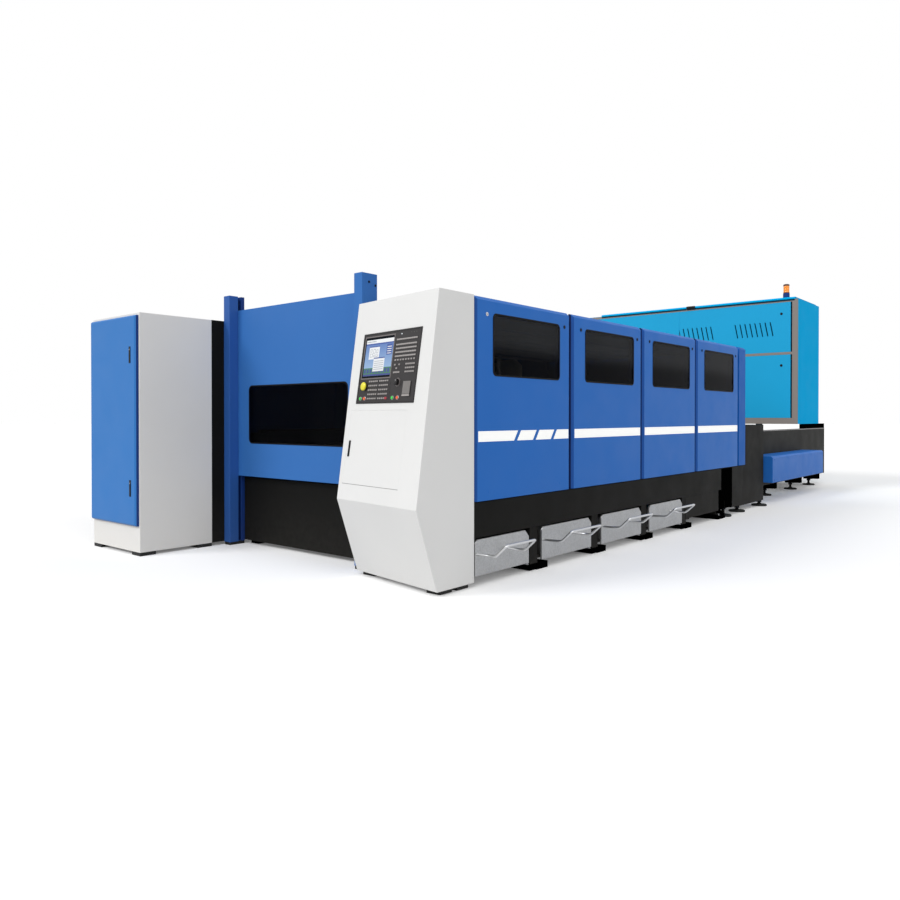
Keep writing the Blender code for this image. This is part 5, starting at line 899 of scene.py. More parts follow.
def quarter_turn_lock(radius, spot, finish):
    """A round lock in a door's skin: a rim with its barrel, and the slot for its key."""
    rim = lathe([(0.0, 0.0035), (radius * 0.78, 0.0035), (radius * 0.86, 0.0045), (radius, 0.003),
                 (radius, -0.001), (0.0, -0.001)], 28)
    bar = block((-radius * 0.62, -radius * 0.11, 0.003), (radius * 0.62, radius * 0.11, 0.0048))
    return [(placed(rim, spot), finish), (placed(bar, spot), "seal")]


def stripe_outlines(start, end, low, high, cuts, width, lean):
    """The stripe's pieces, parted by slanting cuts."""
    left = [(start, low), (start, high)]
    pieces = []
    for centre in cuts:
        lower = centre - lean / 2
        upper = centre + lean / 2
        right = [(upper - width / 2, high), (lower - width / 2, low)]
        pieces.append(left + right)
        left = [(lower + width / 2, low), (upper + width / 2, high)]
    pieces.append(left + [(end, high), (end, low)])
    return pieces


def dress_side_doors(sizes):
    """Softened door skins with painted shade on the hinge edge, seals, stripes and quarter-turn locks."""
    for number, name in enumerate(four("side_door"), 1):
        low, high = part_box(name)

        def shade_edge_or_skin(centre, normal, near=low.y):
            # Painted shade on the hinge edge: the chamfer takes a darker blue, and the near side face with
            # the chamfer's first strip a dark navy.
            if centre.y > near + HINGE_EDGE or normal.y > -0.3:
                return 0
            return 1 if normal.x > 0.3 and centre.y > near + sizes.edge_shade_width else 2

        skin(f"door_skin_{number}", name, name, "door_blue_enamel",
             ("side_blue", "bevel_blue", "edge_seal"), sizes.edge_round, rule=shade_edge_or_skin,
             cuts=[((0, low.y + sizes.edge_shade_width, 0), (0, 1, 0))])
        outside = facing((high.x + SEAL_OFF, 0, 0), (1, 0, 0))
        window_seal(f"door_seal_{number}", name, f"side_window_{number}", 1, outside, 0.032, sizes)

        start, end = (low.y + place for place in STRIPE_ENDS)
        rise = low.z + sizes.stripe_rise
        cuts = [low.y + place for place in STRIPE_CUTS] if number == 1 else []
        parts = [(placed(slab(outline, 0.0001, 0.0006, 0.0002), outside), "vinyl")
                 for outline in stripe_outlines(start, end, rise, rise + sizes.stripe_height, cuts,
                                                sizes.stripe_cut, sizes.stripe_lean)]
        piece(f"door_stripe_{number}", assembled(parts), name, "pale_grey_enamel")

        parts = []
        # Painted highlight: the first door's near lock is bright steel, every other lock black oxide,
        # though the locks are alike.
        lock_with_painted_highlight = "bright" if number == 1 else "dark_bolt"
        for place, finish in zip(LOCK_PLACES, (lock_with_painted_highlight, "dark_bolt")):
            spot = facing((high.x, low.y + place, low.z + LOCK_RISE), (1, 0, 0))
            parts += quarter_turn_lock(sizes.lock_radius, spot, finish)
        for place in PLUG_PLACES:
            spot = facing((high.x, low.y + place, low.z + PLUG_RISE), (1, 0, 0))
            plug = lathe([(0.0, 0.0022), (0.005, 0.0018), (0.0075, 0.0), (0.0, -0.001)], 16)
            parts.append((placed(plug, spot), "side_blue"))
        piece(f"door_locks_{number}", assembled(parts), name, "black_latch_plastic")


class LASERCUTTER_OT_side_doors(bpy.types.Operator):
    """Dress the row of side doors with seals, stripes and locks"""
    bl_idname = "lasercutter.side_doors"
    bl_label = "Side doors"

    def execute(self, context):
        dress_side_doors(context.scene.laser_cutter_sizes)
        return {"FINISHED"}


# Enclosure walls

SCREW_MARGIN = 0.03


def bolt_row(name, slot, finish, spots, flats, tall, washer, thickness):
    """A piece of hexagon bolts at spots, each a place and the way that it faces."""
    places, aims = zip(*spots)
    mesh = grown("bolt", finish, points_mesh(places, aims),
                 {"Across flats": flats, "Head height": tall, "Washer radius": washer,
                  "Washer thickness": thickness})
    piece(name, mesh, "machine", slot)


def dress_enclosure(sizes):
    """The softened sheets of the enclosure and the drive cover, and the screws that hold them."""
    # The end panel's darker blue is painted shade.
    for name, node, finish in (("end_panel_skin", "end_panel", "end_blue"),
                               ("left_wall_skin", "left_wall", "side_blue"),
                               ("roof_skin", "roof_panel", "side_blue"),
                               ("drive_cover_skin", "drive_cover", "side_blue")):
        skin(name, node, "machine", "door_blue_enamel", (finish,), sizes.edge_round)

    low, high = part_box("left_wall")
    pitch = (high.y - low.y) / 4
    spots = [((low.x, low.y + pitch * (panel + share), height), (-1, 0, 0))
             for panel in range(4) for share in (0.12, 0.5, 0.88)
             for height in (low.z + SCREW_MARGIN, high.z - SCREW_MARGIN)]
    low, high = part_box("drive_cover")
    spots += [((high.x, low.y + share * (high.y - low.y), height), (1, 0, 0))
              for share in (0.03, 0.27, 0.5, 0.73, 0.97)
              for height in (low.z + SCREW_MARGIN, high.z - SCREW_MARGIN * 1.5)]
    low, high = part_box("end_panel")
    spots += [((low.x + share * (high.x - low.x), high.y, height), (0, 1, 0))
              for share in (0.04, 0.2, 0.8, 0.96) for height in (low.z + 0.05, high.z - 0.05)]
    bolt_row("wall_screws", "door_blue_enamel", "side_blue", spots, 0.010, 0.003, 0.008, 0.001)


class LASERCUTTER_OT_enclosure(bpy.types.Operator):
    """Dress the walls, the roof and the drive cover"""
    bl_idname = "lasercutter.enclosure"
    bl_label = "Walls and roof"

    def execute(self, context):
        dress_enclosure(context.scene.laser_cutter_sizes)
        return {"FINISHED"}


# Lift door and guide posts

POST_FOOT = 0.0265
REAR_WING = 0.100
# From a post's front edge and down from its top
POST_BOLTS = ((0.072, 0.066), (0.140, 0.087))


def dress_front(sizes):
    """The lift door with its seal, and the guide posts with painted shade in their grooves, feet and
    bolts.
    """
    skin("lift_door_skin", "lift_door", "lift_door", "door_blue_enamel", ("lift_blue",),
         sizes.edge_round)
    outside = facing((0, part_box("lift_door")[0].y - SEAL_OFF, 0), (0, -1, 0))
    window_seal("lift_door_seal", "lift_door", "lift_window", 0, outside, 0.040, sizes)

    spots = []
    # The left post's darker coat is painted shade.
    for side, out, coat in (("left", -1, "post_blue"), ("right", 1, "lift_blue")):
        name = f"guide_post_{side}"
        low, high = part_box(name)

        def post_foot_or_groove_shade(centre, normal):
            if centre.z < POST_FOOT:
                return 1
            # Faces in the post's groove behind its rear wing take the darker blue: painted shade.
            groove_shade = normal.y < -0.5 or normal.x * out < -0.5
            return 2 if groove_shade and centre.y > low.y + REAR_WING else 0

        skin(f"post_{side}", name, "machine", "frame_blue_enamel", (coat, "foot_black", "edge_blue"),
             0.003, rule=post_foot_or_groove_shade)
        face = high.x if out > 0 else low.x
        spots += [((face, low.y + along, high.z - drop), (out, 0, 0)) for along, drop in POST_BOLTS]
    bolt_row("post_bolts", "bright_steel", "dark_bolt", spots, sizes.bolt_flats * 0.7, 0.005,
             0.0095, 0.0015)


class LASERCUTTER_OT_front(bpy.types.Operator):
    """Dress the lift door and its guide posts"""
    bl_idname = "lasercutter.front"
    bl_label = "Lift door and posts"

    def execute(self, context):
        dress_front(context.scene.laser_cutter_sizes)
        return {"FINISHED"}


# Scrap drawers

def dress_drawers():
    """Zinc trays whose bent rod handles are brighter than their sheet."""
    door_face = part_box("side_door_1")[1].x

    def rod_or_sheet(centre, normal):
        return 1 if centre.x > door_face + 0.0006 else 0

    for number, name in enumerate(four("scrap_drawer"), 1):
        skin(f"drawer_{number}", name, name, "galvanised_sheet", ("zinc", "zinc_rod"), 0.0015,
             least_face=0.001, rule=rod_or_sheet, angle=50.0)


class LASERCUTTER_OT_drawers(bpy.types.Operator):
    """Dress the scrap drawers"""
    bl_idname = "lasercutter.drawers"
    bl_label = "Scrap drawers"

    def execute(self, context):
        dress_drawers()
        return {"FINISHED"}


# Bed and shuttle table

# Along the bed, from its far end
END_LEG = (0.777, 0.583)
END_BOLTS = (0.718, 0.658)
END_FEET = 0.448
COLUMN_START = 0.705
COLUMN_LENGTH = 0.340
COLUMN_STEP = 0.130
# Along the bed, from the far side of each drawer
LEG_BACK = 0.0235
LEG_BOLTS_ON = 0.0885
LEG_BOLTS_APART = 0.096
LEG_HALF = 0.056
# In from the bed's sides
END_BOLTS_IN = 0.055
LEG_BOLTS_IN = 0.035
BED_FOOT_IN = 0.075
# Across, from the machine's middle
TABLE_FOOT = 0.936
BRIDGE_FOOT = 1.306
# Heights above the floor
END_PLATE_TOP = 0.030
LEG_BOLT_RISE = 0.050
LEG_PLATE_TOP = 0.052
LEG_TOP = 0.331
COLUMN_TOP = 0.572
COLUMN_LOW = 0.111
BEAM_LOW = 0.200
TABLE_NUT = 0.077
BRIDGE_NUT = 0.048
BED_NUT = 0.080
# Along the shuttle table and the bridge
TABLE_FOOT_SHARES = (0.03, 0.34, 0.67, 0.94)
FOOT_BEAM = 0.080
BRIDGE_FOOT_ON = 0.075
# The folded brackets over the table's feet
BRACKET_IN = 0.070
BRACKET_OUT = 0.162
BRACKET_HALF = 0.055
BRACKET_LOW = 0.105
BRACKET_HIGH = 0.199
BRACKET_SHEET = 0.012
BRACKET_CHEEK = 0.010
# The rubber discs under the feet
DISC_RADIUS = 0.096
DISC_HEIGHT = 0.023


def bed_skins(low, high):
    """The bed with painted shade on its legs and leg plates, the shuttle table, the bridge and the skirt.
    """
    legs = [tuple(high.y - back for back in END_LEG)]
    for name in four("scrap_drawer"):
        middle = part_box(name)[1].y - LEG_BACK
        legs.append((middle - LEG_HALF, middle + LEG_HALF))
    plate_top = low.z + LEG_PLATE_TOP
    leg_top = low.z + LEG_TOP

    def shade_leg_or_beam(centre, normal):
        # Painted shade: the leg plates, and the legs below their tops, take the near-black.
        if centre.z < plate_top:
            return 1
        within = any(near < centre.y < far for near, far in legs)
        return 1 if within and centre.z < leg_top else 0

    cuts = [((0, y, 0), (0, 1, 0)) for leg in legs for y in leg]
    cuts += [((0, 0, z), (0, 0, 1)) for z in (plate_top, leg_top)]
    for name, finish, settings in (("bed_frame", "bed_black", {"rule": shade_leg_or_beam, "cuts": cuts}),
                                   ("shuttle_frame", "table_black", {}),
                                   ("shuttle_bridge", "bed_black", {}),
                                   ("front_skirt", "bed_black", {})):
        skin(f"{name}_skin", name, "machine", "black_bed_enamel", (finish, "shade_black"), 0.003,
             least_face=0.02, **settings)


def column_covers(low, high):
    """Thin sheets of painted shade on the outer faces of the bed's end columns."""
    start = high.y - COLUMN_START
    end = start + COLUMN_LENGTH
    step = start + COLUMN_STEP
    parts = []
    for side, face in ((-1, low.x), (1, high.x)):
        outline = [(side * y, z) for y, z in ((start, COLUMN_TOP), (end, COLUMN_TOP),
                                              (end, COLUMN_LOW), (step, COLUMN_LOW),
                                              (step, BEAM_LOW), (start, BEAM_LOW))]
        spot = facing((face, 0, 0), (side, 0, 0))
        parts.append((placed(slab(outline, -0.0102, 0.0012, 0.0006), spot), "shade_black"))
    piece("column_covers", assembled(parts), "machine", "black_bed_enamel")


def anchor_bolts(low, high, sizes):
    """The bolts that hold the plates under the bed's legs to the floor."""
    spots = []
    for side, face in ((-1, low.x), (1, high.x)):
        spots += [((face - side * END_BOLTS_IN, high.y - back, END_PLATE_TOP), (0, 0, 1))
                  for back in END_BOLTS]
        for name in four("scrap_drawer"):
            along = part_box(name)[1].y + LEG_BOLTS_ON
            spots += [((face - side * LEG_BOLTS_IN, along + shift, LEG_BOLT_RISE), (0, 0, 1))
                      for shift in (-LEG_BOLTS_APART / 2, LEG_BOLTS_APART / 2)]
    bolt_row("anchor_bolts", "bright_steel", "bolt", spots, sizes.bolt_flats * 1.5, 0.016, 0.022,
             0.003)


def foot_bracket(side):
    """A folded bracket under the shuttle table, whose plate a levelling foot's stem passes."""
    plate_top = BRACKET_LOW + BRACKET_SHEET
    bend = BRACKET_LOW + BRACKET_CHEEK / 2
    parts = [block((-BRACKET_IN, -BRACKET_HALF, BRACKET_LOW), (BRACKET_IN, BRACKET_HALF, plate_top),
                   0.003),
             block((BRACKET_OUT - BRACKET_SHEET, -BRACKET_HALF, bend),
                   (BRACKET_OUT, BRACKET_HALF, BRACKET_HIGH), 0.003)]
    for y in (0.003 - BRACKET_HALF, BRACKET_HALF - 0.003):
        parts.append(block((-BRACKET_IN, y - BRACKET_CHEEK / 2, bend),
                           (BRACKET_OUT - 0.002, y + BRACKET_CHEEK / 2, BRACKET_HIGH), 0.002))
    turn = Matrix.Rotation(math.pi, 4, "Z")
    return [placed(bm, turn) for bm in parts] if side < 0 else parts


def levelling_feet(low, high, sizes):
    """Brackets, rubber discs and nuts of the feet of table, bridge and bed, and grey strips of painted
    highlight along the table's top edges.
    """
    table_low, table_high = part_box("shuttle_frame")
    bridge_low, bridge_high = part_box("shuttle_bridge")
    middle = (low.x + high.x) / 2
    bed_foot = (high.x - low.x) / 2 - BED_FOOT_IN
    feet = []
    brackets = []
    for share in TABLE_FOOT_SHARES:
        along = table_low.y + share * (table_high.y - table_low.y - FOOT_BEAM) + FOOT_BEAM / 2
        for side in (-1, 1):
            feet.append((middle + side * TABLE_FOOT, along, TABLE_NUT))
            # The brackets are near-black: painted shade under the table.
            brackets += [(placed(bm, at(middle + side * TABLE_FOOT, along, 0.0)), "shade_black")
                         for bm in foot_bracket(side)]
    piece("foot_brackets", assembled(brackets), "machine", "black_bed_enamel")
    for along in (bridge_low.y + BRIDGE_FOOT_ON, bridge_high.y - BRIDGE_FOOT_ON):
        feet += [(middle + side * BRIDGE_FOOT, along, BRIDGE_NUT) for side in (-1, 1)]
    feet += [(middle + side * bed_foot, high.y - END_FEET, BED_NUT) for side in (-1, 1)]
    profile = [(0.0, 0.0), (DISC_RADIUS - 0.004, 0.0), (DISC_RADIUS, 0.004),
               (DISC_RADIUS, DISC_HEIGHT - 0.006), (DISC_RADIUS - 0.006, DISC_HEIGHT),
               (0.0, DISC_HEIGHT)]
    discs = [(placed(lathe(profile, 36), at(x, y, low.z)), "foot_black") for x, y, _ in feet]
    piece("foot_discs", assembled(discs), "machine", "black_bed_enamel")

    # Painted highlight: grey strips along the table's top edges.
    rims = [(placed(block((-0.001, table_low.y + 0.02, -0.014), (0.0015, table_high.y - 0.02, -0.002),
                          0.0008), at(face, 0, table_high.z)), "ribbed")
            for face in (table_low.x, table_high.x)]
    piece("table_rims", assembled(rims), "machine", "black_bed_enamel")
    bolt_row("foot_nuts", "black_bed_enamel", "dark_bolt", [(foot, (0, 0, 1)) for foot in feet],
             sizes.foot_nut_flats, 0.018, sizes.foot_nut_flats * 0.6, 0.003)


def dress_bed(sizes):
    """The softened bed and table with their sheets of painted shade, bolts and levelling feet."""
    low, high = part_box("bed_frame")
    bed_skins(low, high)
    column_covers(low, high)
    anchor_bolts(low, high, sizes)
    levelling_feet(low, high, sizes)


class LASERCUTTER_OT_bed(bpy.types.Operator):
    """Dress the bed and the shuttle table, with their sheets of painted shade, bolts and feet"""
    bl_idname = "lasercutter.bed"
    bl_label = "Bed and feet"

    def execute(self, context):
        dress_bed(context.scene.laser_cutter_sizes)
        return {"FINISHED"}


# Console

# The service door's hinge, from the top left corner of the console's leaning front
HINGE_ON_FACE = (0.765, 0.0, -1.322)


def console_face():
    """The console's leaning front: x to the right, y inwards, z up from its top left corner."""
    joints = {joint["name"]: joint for joint in frame["joints"]}
    up = Vector(joints["console_door_hinge"]["axis"])
    inward = Vector(joints["emergency_stop_press"]["axis"])
    right = inward.cross(up)
    turn = Matrix((right, inward, up)).transposed()
    corner = Vector(joints["console_door_hinge"]["pos_m"]) - turn @ Vector(HINGE_ON_FACE)
    return Matrix.Translation(corner) @ turn.to_4x4()


def face_box(node, face):
    """The low and high corner of a node in the console face's own axes."""
    back = face.inverted()
    points = [back @ vertex.co for vertex in frame["nodes"][node].data.vertices]
    low = Vector([min(p[i] for p in points) for i in range(3)])
    high = Vector([max(p[i] for p in points) for i in range(3)])
    return low, high


def key_row(left, right, height, count):
    """The places of a row of keys, in shares from the panel's top left corner."""
    return [(left + (right - left) * column / (count - 1), height) for column in range(count)]


# Where the keys lie, in shares of the panel from its top left corner
ROW_SPAN_SHARES = (0.620, 0.928)
WIDE_ROW_SHARES = (0.136, 0.207, 0.260, 0.313, 0.366)
NARROW_ROW_SHARE = 0.417
NUMBER_SPAN_SHARES = (0.812, 0.936)
NUMBER_ROW_SHARES = (0.481, 0.533, 0.585)
FIELD_SPAN_SHARES = ((0.210, 0.345), (0.397, 0.532))
FIELD_ROW_SHARES = (0.690, 0.7505, 0.811, 0.8715, 0.932)
LOOSE_KEY_SHARES = ((0.623, 0.481), (0.696, 0.481), (0.655, 0.530))
SHORT_ROW_SHARES = (0.620, 0.702, 0.585)


def key_places():
    """The wide keys of the close rows, and the narrower keys of the other fields."""
    wide = []
    for height in WIDE_ROW_SHARES:
        wide += key_row(*ROW_SPAN_SHARES, height, 10)
    narrow = key_row(*ROW_SPAN_SHARES, NARROW_ROW_SHARE, 8)
    for height in NUMBER_ROW_SHARES:
        narrow += key_row(*NUMBER_SPAN_SHARES, height, 5)
    for span in FIELD_SPAN_SHARES:
        for height in FIELD_ROW_SHARES:
            narrow += key_row(*span, height, 5)
    # The red key takes the last place of the second field
    narrow.pop()
    return wide, narrow + list(LOOSE_KEY_SHARES) + key_row(*SHORT_ROW_SHARES, 4)


def flat_frame(face, x, z):
    """A frame on the console's face with its z axis out of the panel and its y axis up it."""
    return face @ facing((x, 0.0, z), (0, -1, 0))


def screen_picture(face, low, high):
    """A plain nesting program on the display: bars, two windows and simple part outlines."""
    glass_front = low.y - 0.0001
    low_z = (face @ Vector((low.x, glass_front, low.z))).z
    high_z = (face @ Vector((low.x, glass_front, high.z))).z
    for name, low_colour, high_colour, strength in (("field_blue", "#A9CDEE", "#2D62B9", 0.85),
                                                    ("white", "#E4E8EC", "#F6F8FA", 0.92),
                                                    ("teal", "#2C7A54", "#3C9A6A", 0.75),
                                                    ("bar_blue", "#23408C", "#3058B0", 0.80),
                                                    ("grey", "#9AA4AE", "#B8C0C8", 0.80)):
        FINISH[name] = lit_area(f"display_{name}", low_colour, high_colour, low_z, high_z, strength)
    tiles = [((0.00, 0.00, 1.00, 1.00), "field_blue", 0), ((0.00, 0.90, 1.00, 1.00), "white", 1),
             ((0.00, 0.86, 1.00, 0.90), "bar_blue", 1), ((0.00, 0.05, 1.00, 0.22), "teal", 1),
             ((0.00, 0.00, 1.00, 0.05), "bar_blue", 1), ((0.14, 0.46, 0.52, 0.82), "white", 2),
             ((0.14, 0.79, 0.52, 0.82), "bar_blue", 3), ((0.34, 0.12, 0.74, 0.50), "white", 4),
             ((0.34, 0.47, 0.74, 0.50), "bar_blue", 5), ((0.78, 0.55, 0.97, 0.84), "bar_blue", 2)]
    tiles += [((0.37, 0.17 + 0.055 * row, 0.71, 0.185 + 0.055 * row), "grey", 5)
              for row in range(5)]
    tiles += [((0.02 + 0.05 * column, 0.93, 0.055 + 0.05 * column, 0.97), "grey", 2)
              for column in range(7)]
    tiles += [((0.02 + 0.108 * column, 0.08, 0.095 + 0.108 * column, 0.19), "bar_blue", 2)
              for column in range(9)]
    tiles += [((0.80, 0.58 + 0.06 * row, 0.95, 0.60 + 0.06 * row), "white", 3) for row in range(4)]
    for x, y, w, h in ((0.18, 0.52, 0.10, 0.10), (0.31, 0.52, 0.16, 0.06), (0.18, 0.66, 0.07, 0.08),
                       (0.29, 0.62, 0.08, 0.12), (0.40, 0.62, 0.07, 0.10)):
        tiles.append(((x, y, x + w, y + h), "grey", 3))
        tiles.append(((x + 0.012, y + 0.014, x + w - 0.012, y + h - 0.014), "white", 4))
    left = low.x + 0.03 * (high.x - low.x)
    foot = low.z + 0.05 * (high.z - low.z)
    width = 0.96 * (high.x - low.x)
    height = 0.89 * (high.z - low.z)
    parts = []
    for (x0, y0, x1, y1), finish, level in tiles:
        rise = 0.00006 * level
        bm = block((left + x0 * width, glass_front - rise - 0.00005, foot + y0 * height),
                   (left + x1 * width, glass_front - rise, foot + y1 * height))
        parts.append((placed(bm, face), finish))
    return assembled(parts)


def mushroom_head(radius, neck, standoff, height):
    """A palm button turned with a soft crown and a step under it, standing up its z axis."""
    top = standoff + height
    profile = [(0.0, top)]
    for step in range(1, 7):
        angle = math.pi / 2 * step / 6
        profile.append((radius * math.sin(angle) * 0.98, top - height * 0.55 * (1 - math.cos(angle))))
    profile += [(radius, top - height * 0.62), (radius, standoff + 0.002), (radius - 0.002, standoff),
                (neck, standoff), (neck, -0.018), (0.0, -0.018)]
    return lathe(profile, 40)


def push_cap(radius, proud):
    """A small round button with a dished top."""
    return lathe([(0.0, proud - 0.0010), (radius * 0.62, proud - 0.0006), (radius * 0.80, proud),
                  (radius * 0.93, proud - 0.0008), (radius, proud - 0.0025), (radius, -0.018),
                  (0.0, -0.018)], 28)


# On the panel, in shares of its width and height from its top left corner
STOP_SPOT = (0.130, 0.760)
DIAL_SPOT = (0.700, 0.720)
BUTTON_SHARES = (("start_button_left", 0.075, "green"), ("halt_button_left", 0.150, "orange"),
                 ("start_button_right", 0.645, "green"), ("halt_button_right", 0.730, "orange"))
BUTTON_LEVEL_SHARE = 0.930
PAD_SPOT = (0.865, 0.815)
PANEL_PROUD = 0.0012
CONSOLE_FEET_TOP = 0.031
SEAM_WIDTH = 0.0028


def border(low_x, low_z, high_x, high_z, rim):
    """The four bars of a border that lies inside a rectangle: bottom, top, left and right."""
    return ((low_x, low_z, high_x, low_z + rim), (low_x, high_z - rim, high_x, high_z),
            (low_x, low_z + rim, low_x + rim, high_z - rim),
            (high_x - rim, low_z + rim, high_x, high_z - rim))


def console_skins(face, sizes):
    """The softened housing on its rubber feet, the service door, and strips in its seam: pale at its top
    and left, and a grey strip of painted shade along its bottom.
    """
    skin("console_casing", "console_housing", "machine", "pale_grey_enamel", ("pale", "foot_black"),
         sizes.casing_round, least_face=0.02, rule=rubber_below(CONSOLE_FEET_TOP))
    skin("console_door_skin", "console_door", "console_door", "pale_grey_enamel", ("pale",), 0.0015,
         least_face=0.004)
    low, high = face_box("console_door", face)
    left = low.x - SEAM_WIDTH
    parts = []
    # The grey strip along the seam's bottom is painted shade; the pale strips fill the seam's top and
    # left.
    for x0, z0, x1, z1, finish in ((left, high.z, high.x, high.z + SEAM_WIDTH, "pale"),
                                   (left, low.z, low.x - 0.0003, high.z, "pale"),
                                   (left, low.z - SEAM_WIDTH, high.x, low.z, "gasket")):
        bm = block((x0, low.y + 0.0006, z0), (x1, low.y + 0.009, z1), 0.0004, 1)
        parts.append((placed(bm, face), finish))
    piece("console_door_gasket", assembled(parts), "machine", "pale_grey_enamel")


def panel_rims(face, low, high, front):
    """The panel's raised rim and the pale edge round its screen, then the screen's picture."""
    parts = []
    for x0, z0, x1, z1 in border(low.x, low.z, high.x, high.z, 0.010):
        bm = block((x0, front - 0.0022, z0), (x1, front + 0.0005, z1), 0.0008, 1)
        parts.append((placed(bm, face), "panel_rim"))
    screen_low, screen_high = face_box("display", face)
    edge = 0.008
    for x0, z0, x1, z1 in border(screen_low.x - edge, screen_low.z - edge, screen_high.x + edge,
                                 screen_high.z + edge, edge):
        bm = block((x0, front - 0.0012, z0), (x1, front + 0.0005, z1), 0.0005, 1)
        parts.append((placed(bm, face), "key_dim"))
    piece("panel_rims", assembled(parts), "machine", "panel_dark_grey")
    piece("display_picture", screen_picture(face, screen_low, screen_high), "machine", "screen_glass")


def key_caps(spots, finish, width, height, rise, base):
    """Key caps at spots on the panel, as a shape with its finish."""
    mesh = grown("key", finish, points_mesh(spots, [(0, 0, 1)] * len(spots)),
                 {"Key width": width, "Key height": height, "Key rise": rise})
    return as_shape(mesh, base), finish


def dial_and_pad(spot):
    """The marks and ring round the dial, and the ribbed pad in its frame with a ledge."""
    plate = slab(rounded_outline(-0.045, -0.052, 0.045, 0.052, 0.004), 0.0, 0.0025, 0.0008)
    ledge = block((-0.040, -0.050, 0.0), (0.040, -0.038, 0.0075), 0.001, 1)
    ribs = grown("blade", "ribbed", empty_seed(),
                 {"Count": 9, "Pitch": 0.0088, "Blade width": 0.0052, "Blade depth": 0.0052,
                  "Blade length": 0.086, "Lean": 0.0, "Tilt": 0.0})
    upright = at(-0.0352, 0, 0) @ Matrix.Rotation(-math.pi / 2, 4, "X")
    marks = grown("tick", "key", empty_seed(),
                  {"Ticks": 24, "Ring radius": 0.0295, "Tick length": 0.0045, "Tick width": 0.0010,
                   "Tick rise": 0.0006})
    ring = lathe([(0.0, 0.0005), (0.0262, 0.0005), (0.0264, 0.0012), (0.0276, 0.0012),
                  (0.0280, 0.0), (0.0, -0.001)], 36)
    return [(placed(plate, spot(*PAD_SPOT)), "panel_rim"),
            (as_shape(ribs, spot(PAD_SPOT[0], 0.800, 0.0042) @ upright), "ribbed"),
            (placed(ledge, spot(*PAD_SPOT)), "key"),
            (as_shape(marks, spot(*DIAL_SPOT, 0.0001)), "key"),
            (placed(ring, spot(*DIAL_SPOT)), "key_dim")]


def panel_fittings(spot, mark):
    """The red key, the lamps, the pad, the dial's marks and the collars of the buttons."""
    parts = [mark]
    for share in (0.835, 0.875, 0.915):
        lamp = lathe([(0.0, 0.0020), (0.0018, 0.0015), (0.0025, 0.0), (0.0, -0.001)], 12)
        parts.append((placed(lamp, spot(share, 0.055)), "key_dim"))
    lamp = lathe([(0.0, 0.0030), (0.0030, 0.0022), (0.0042, 0.0), (0.0, -0.001)], 16)
    parts.append((placed(lamp, spot(0.675, 0.062)), "lamp"))
    parts += dial_and_pad(spot)
    for _, share, _ in BUTTON_SHARES:
        collar = lathe([(0.0112, 0.0), (0.0112, 0.0022), (0.0125, 0.0026), (0.0145, 0.0016),
                        (0.0150, 0.0), (0.0112, 0.0)], 28)
        parts.append((placed(collar, spot(share, BUTTON_LEVEL_SHARE)), "bolt"))
    collar = lathe([(0.0148, 0.0), (0.0148, 0.0018), (0.0200, 0.0022), (0.0250, 0.0016),
                    (0.0262, 0.0), (0.0148, 0.0)], 36)
    parts.append((placed(collar, spot(*STOP_SPOT)), "panel_rim"))
    piece("panel_fittings", assembled(parts), "machine", "panel_dark_grey")


def panel_controls(spot):
    """The palm button, the push buttons and the ribbed dial, each on its own joint."""
    head = mushroom_head(0.030, 0.014, 0.009, 0.018)
    piece("stop_head", assembled([(placed(head, spot(*STOP_SPOT)), "yellow")], 50.0),
          "emergency_stop", "stop_yellow_plastic", "emergency_stop")
    for name, share, finish in BUTTON_SHARES:
        cap = placed(push_cap(0.0105, 0.008), spot(share, BUTTON_LEVEL_SHARE))
        piece(f"{name}_cap", assembled([(cap, finish)], 50.0), name, f"{finish}_button_plastic", name)

    knob = lathe([(0.0, 0.0200), (0.0150, 0.0200), (0.0172, 0.0185), (0.0178, 0.0010),
                  (0.0, 0.0010)], 36)
    line = block((-0.0008, 0.004, 0.0196), (0.0008, 0.0150, 0.0204))
    parts = [(placed(knob, spot(*DIAL_SPOT)), "panel_rim"), (placed(line, spot(*DIAL_SPOT)), "vinyl")]
    ribs = 18
    for rib in range(ribs):
        turn = Matrix.Rotation(2 * math.pi * rib / ribs, 4, "Z")
        grip = block((0.0168, -0.0015, 0.0015), (0.0215, 0.0015, 0.0175), 0.0008, 1)
        parts.append((placed(grip, spot(*DIAL_SPOT) @ turn), "panel_rim"))
    piece("dial_knob", assembled(parts, 40.0), "override_dial", "black_bed_enamel", "override_dial")


def dress_console(sizes):
    """The softened housing and door, the panel with its keys, screen, buttons and dial."""
    face = console_face()
    console_skins(face, sizes)
    low, high = face_box("control_panel", face)
    width = high.x - low.x
    height = high.z - low.z
    front = low.y + PANEL_PROUD
    panel_rims(face, low, high, front)

    base = flat_frame(face, low.x, high.z) @ at(0, 0, PANEL_PROUD - front)
    keys = []
    for shares, key_width in zip(key_places(), (sizes.key_width, sizes.key_width * 0.74)):
        spots = [(across * width, -down * height, 0.0) for across, down in shares]
        keys.append(key_caps(spots, "key", key_width, sizes.key_height, 0.0032, base))
    piece("panel_keys", assembled(keys), "machine", "panel_dark_grey")

    def spot(across, down, rise=0.0):
        place = flat_frame(face, low.x + across * width, high.z - down * height)
        return place @ at(0, 0, rise - front)

    mark = key_caps([(0.530 * width, -0.932 * height, 0.0)], "red", 0.024, 0.018, 0.0036, base)
    panel_fittings(spot, mark)
    panel_controls(spot)


class LASERCUTTER_OT_console(bpy.types.Operator):
    """Dress the operator console and its control panel"""
    bl_idname = "lasercutter.console"
    bl_label = "Console"

    def execute(self, context):
        dress_console(context.scene.laser_cutter_sizes)
        return {"FINISHED"}


# Control cabinet

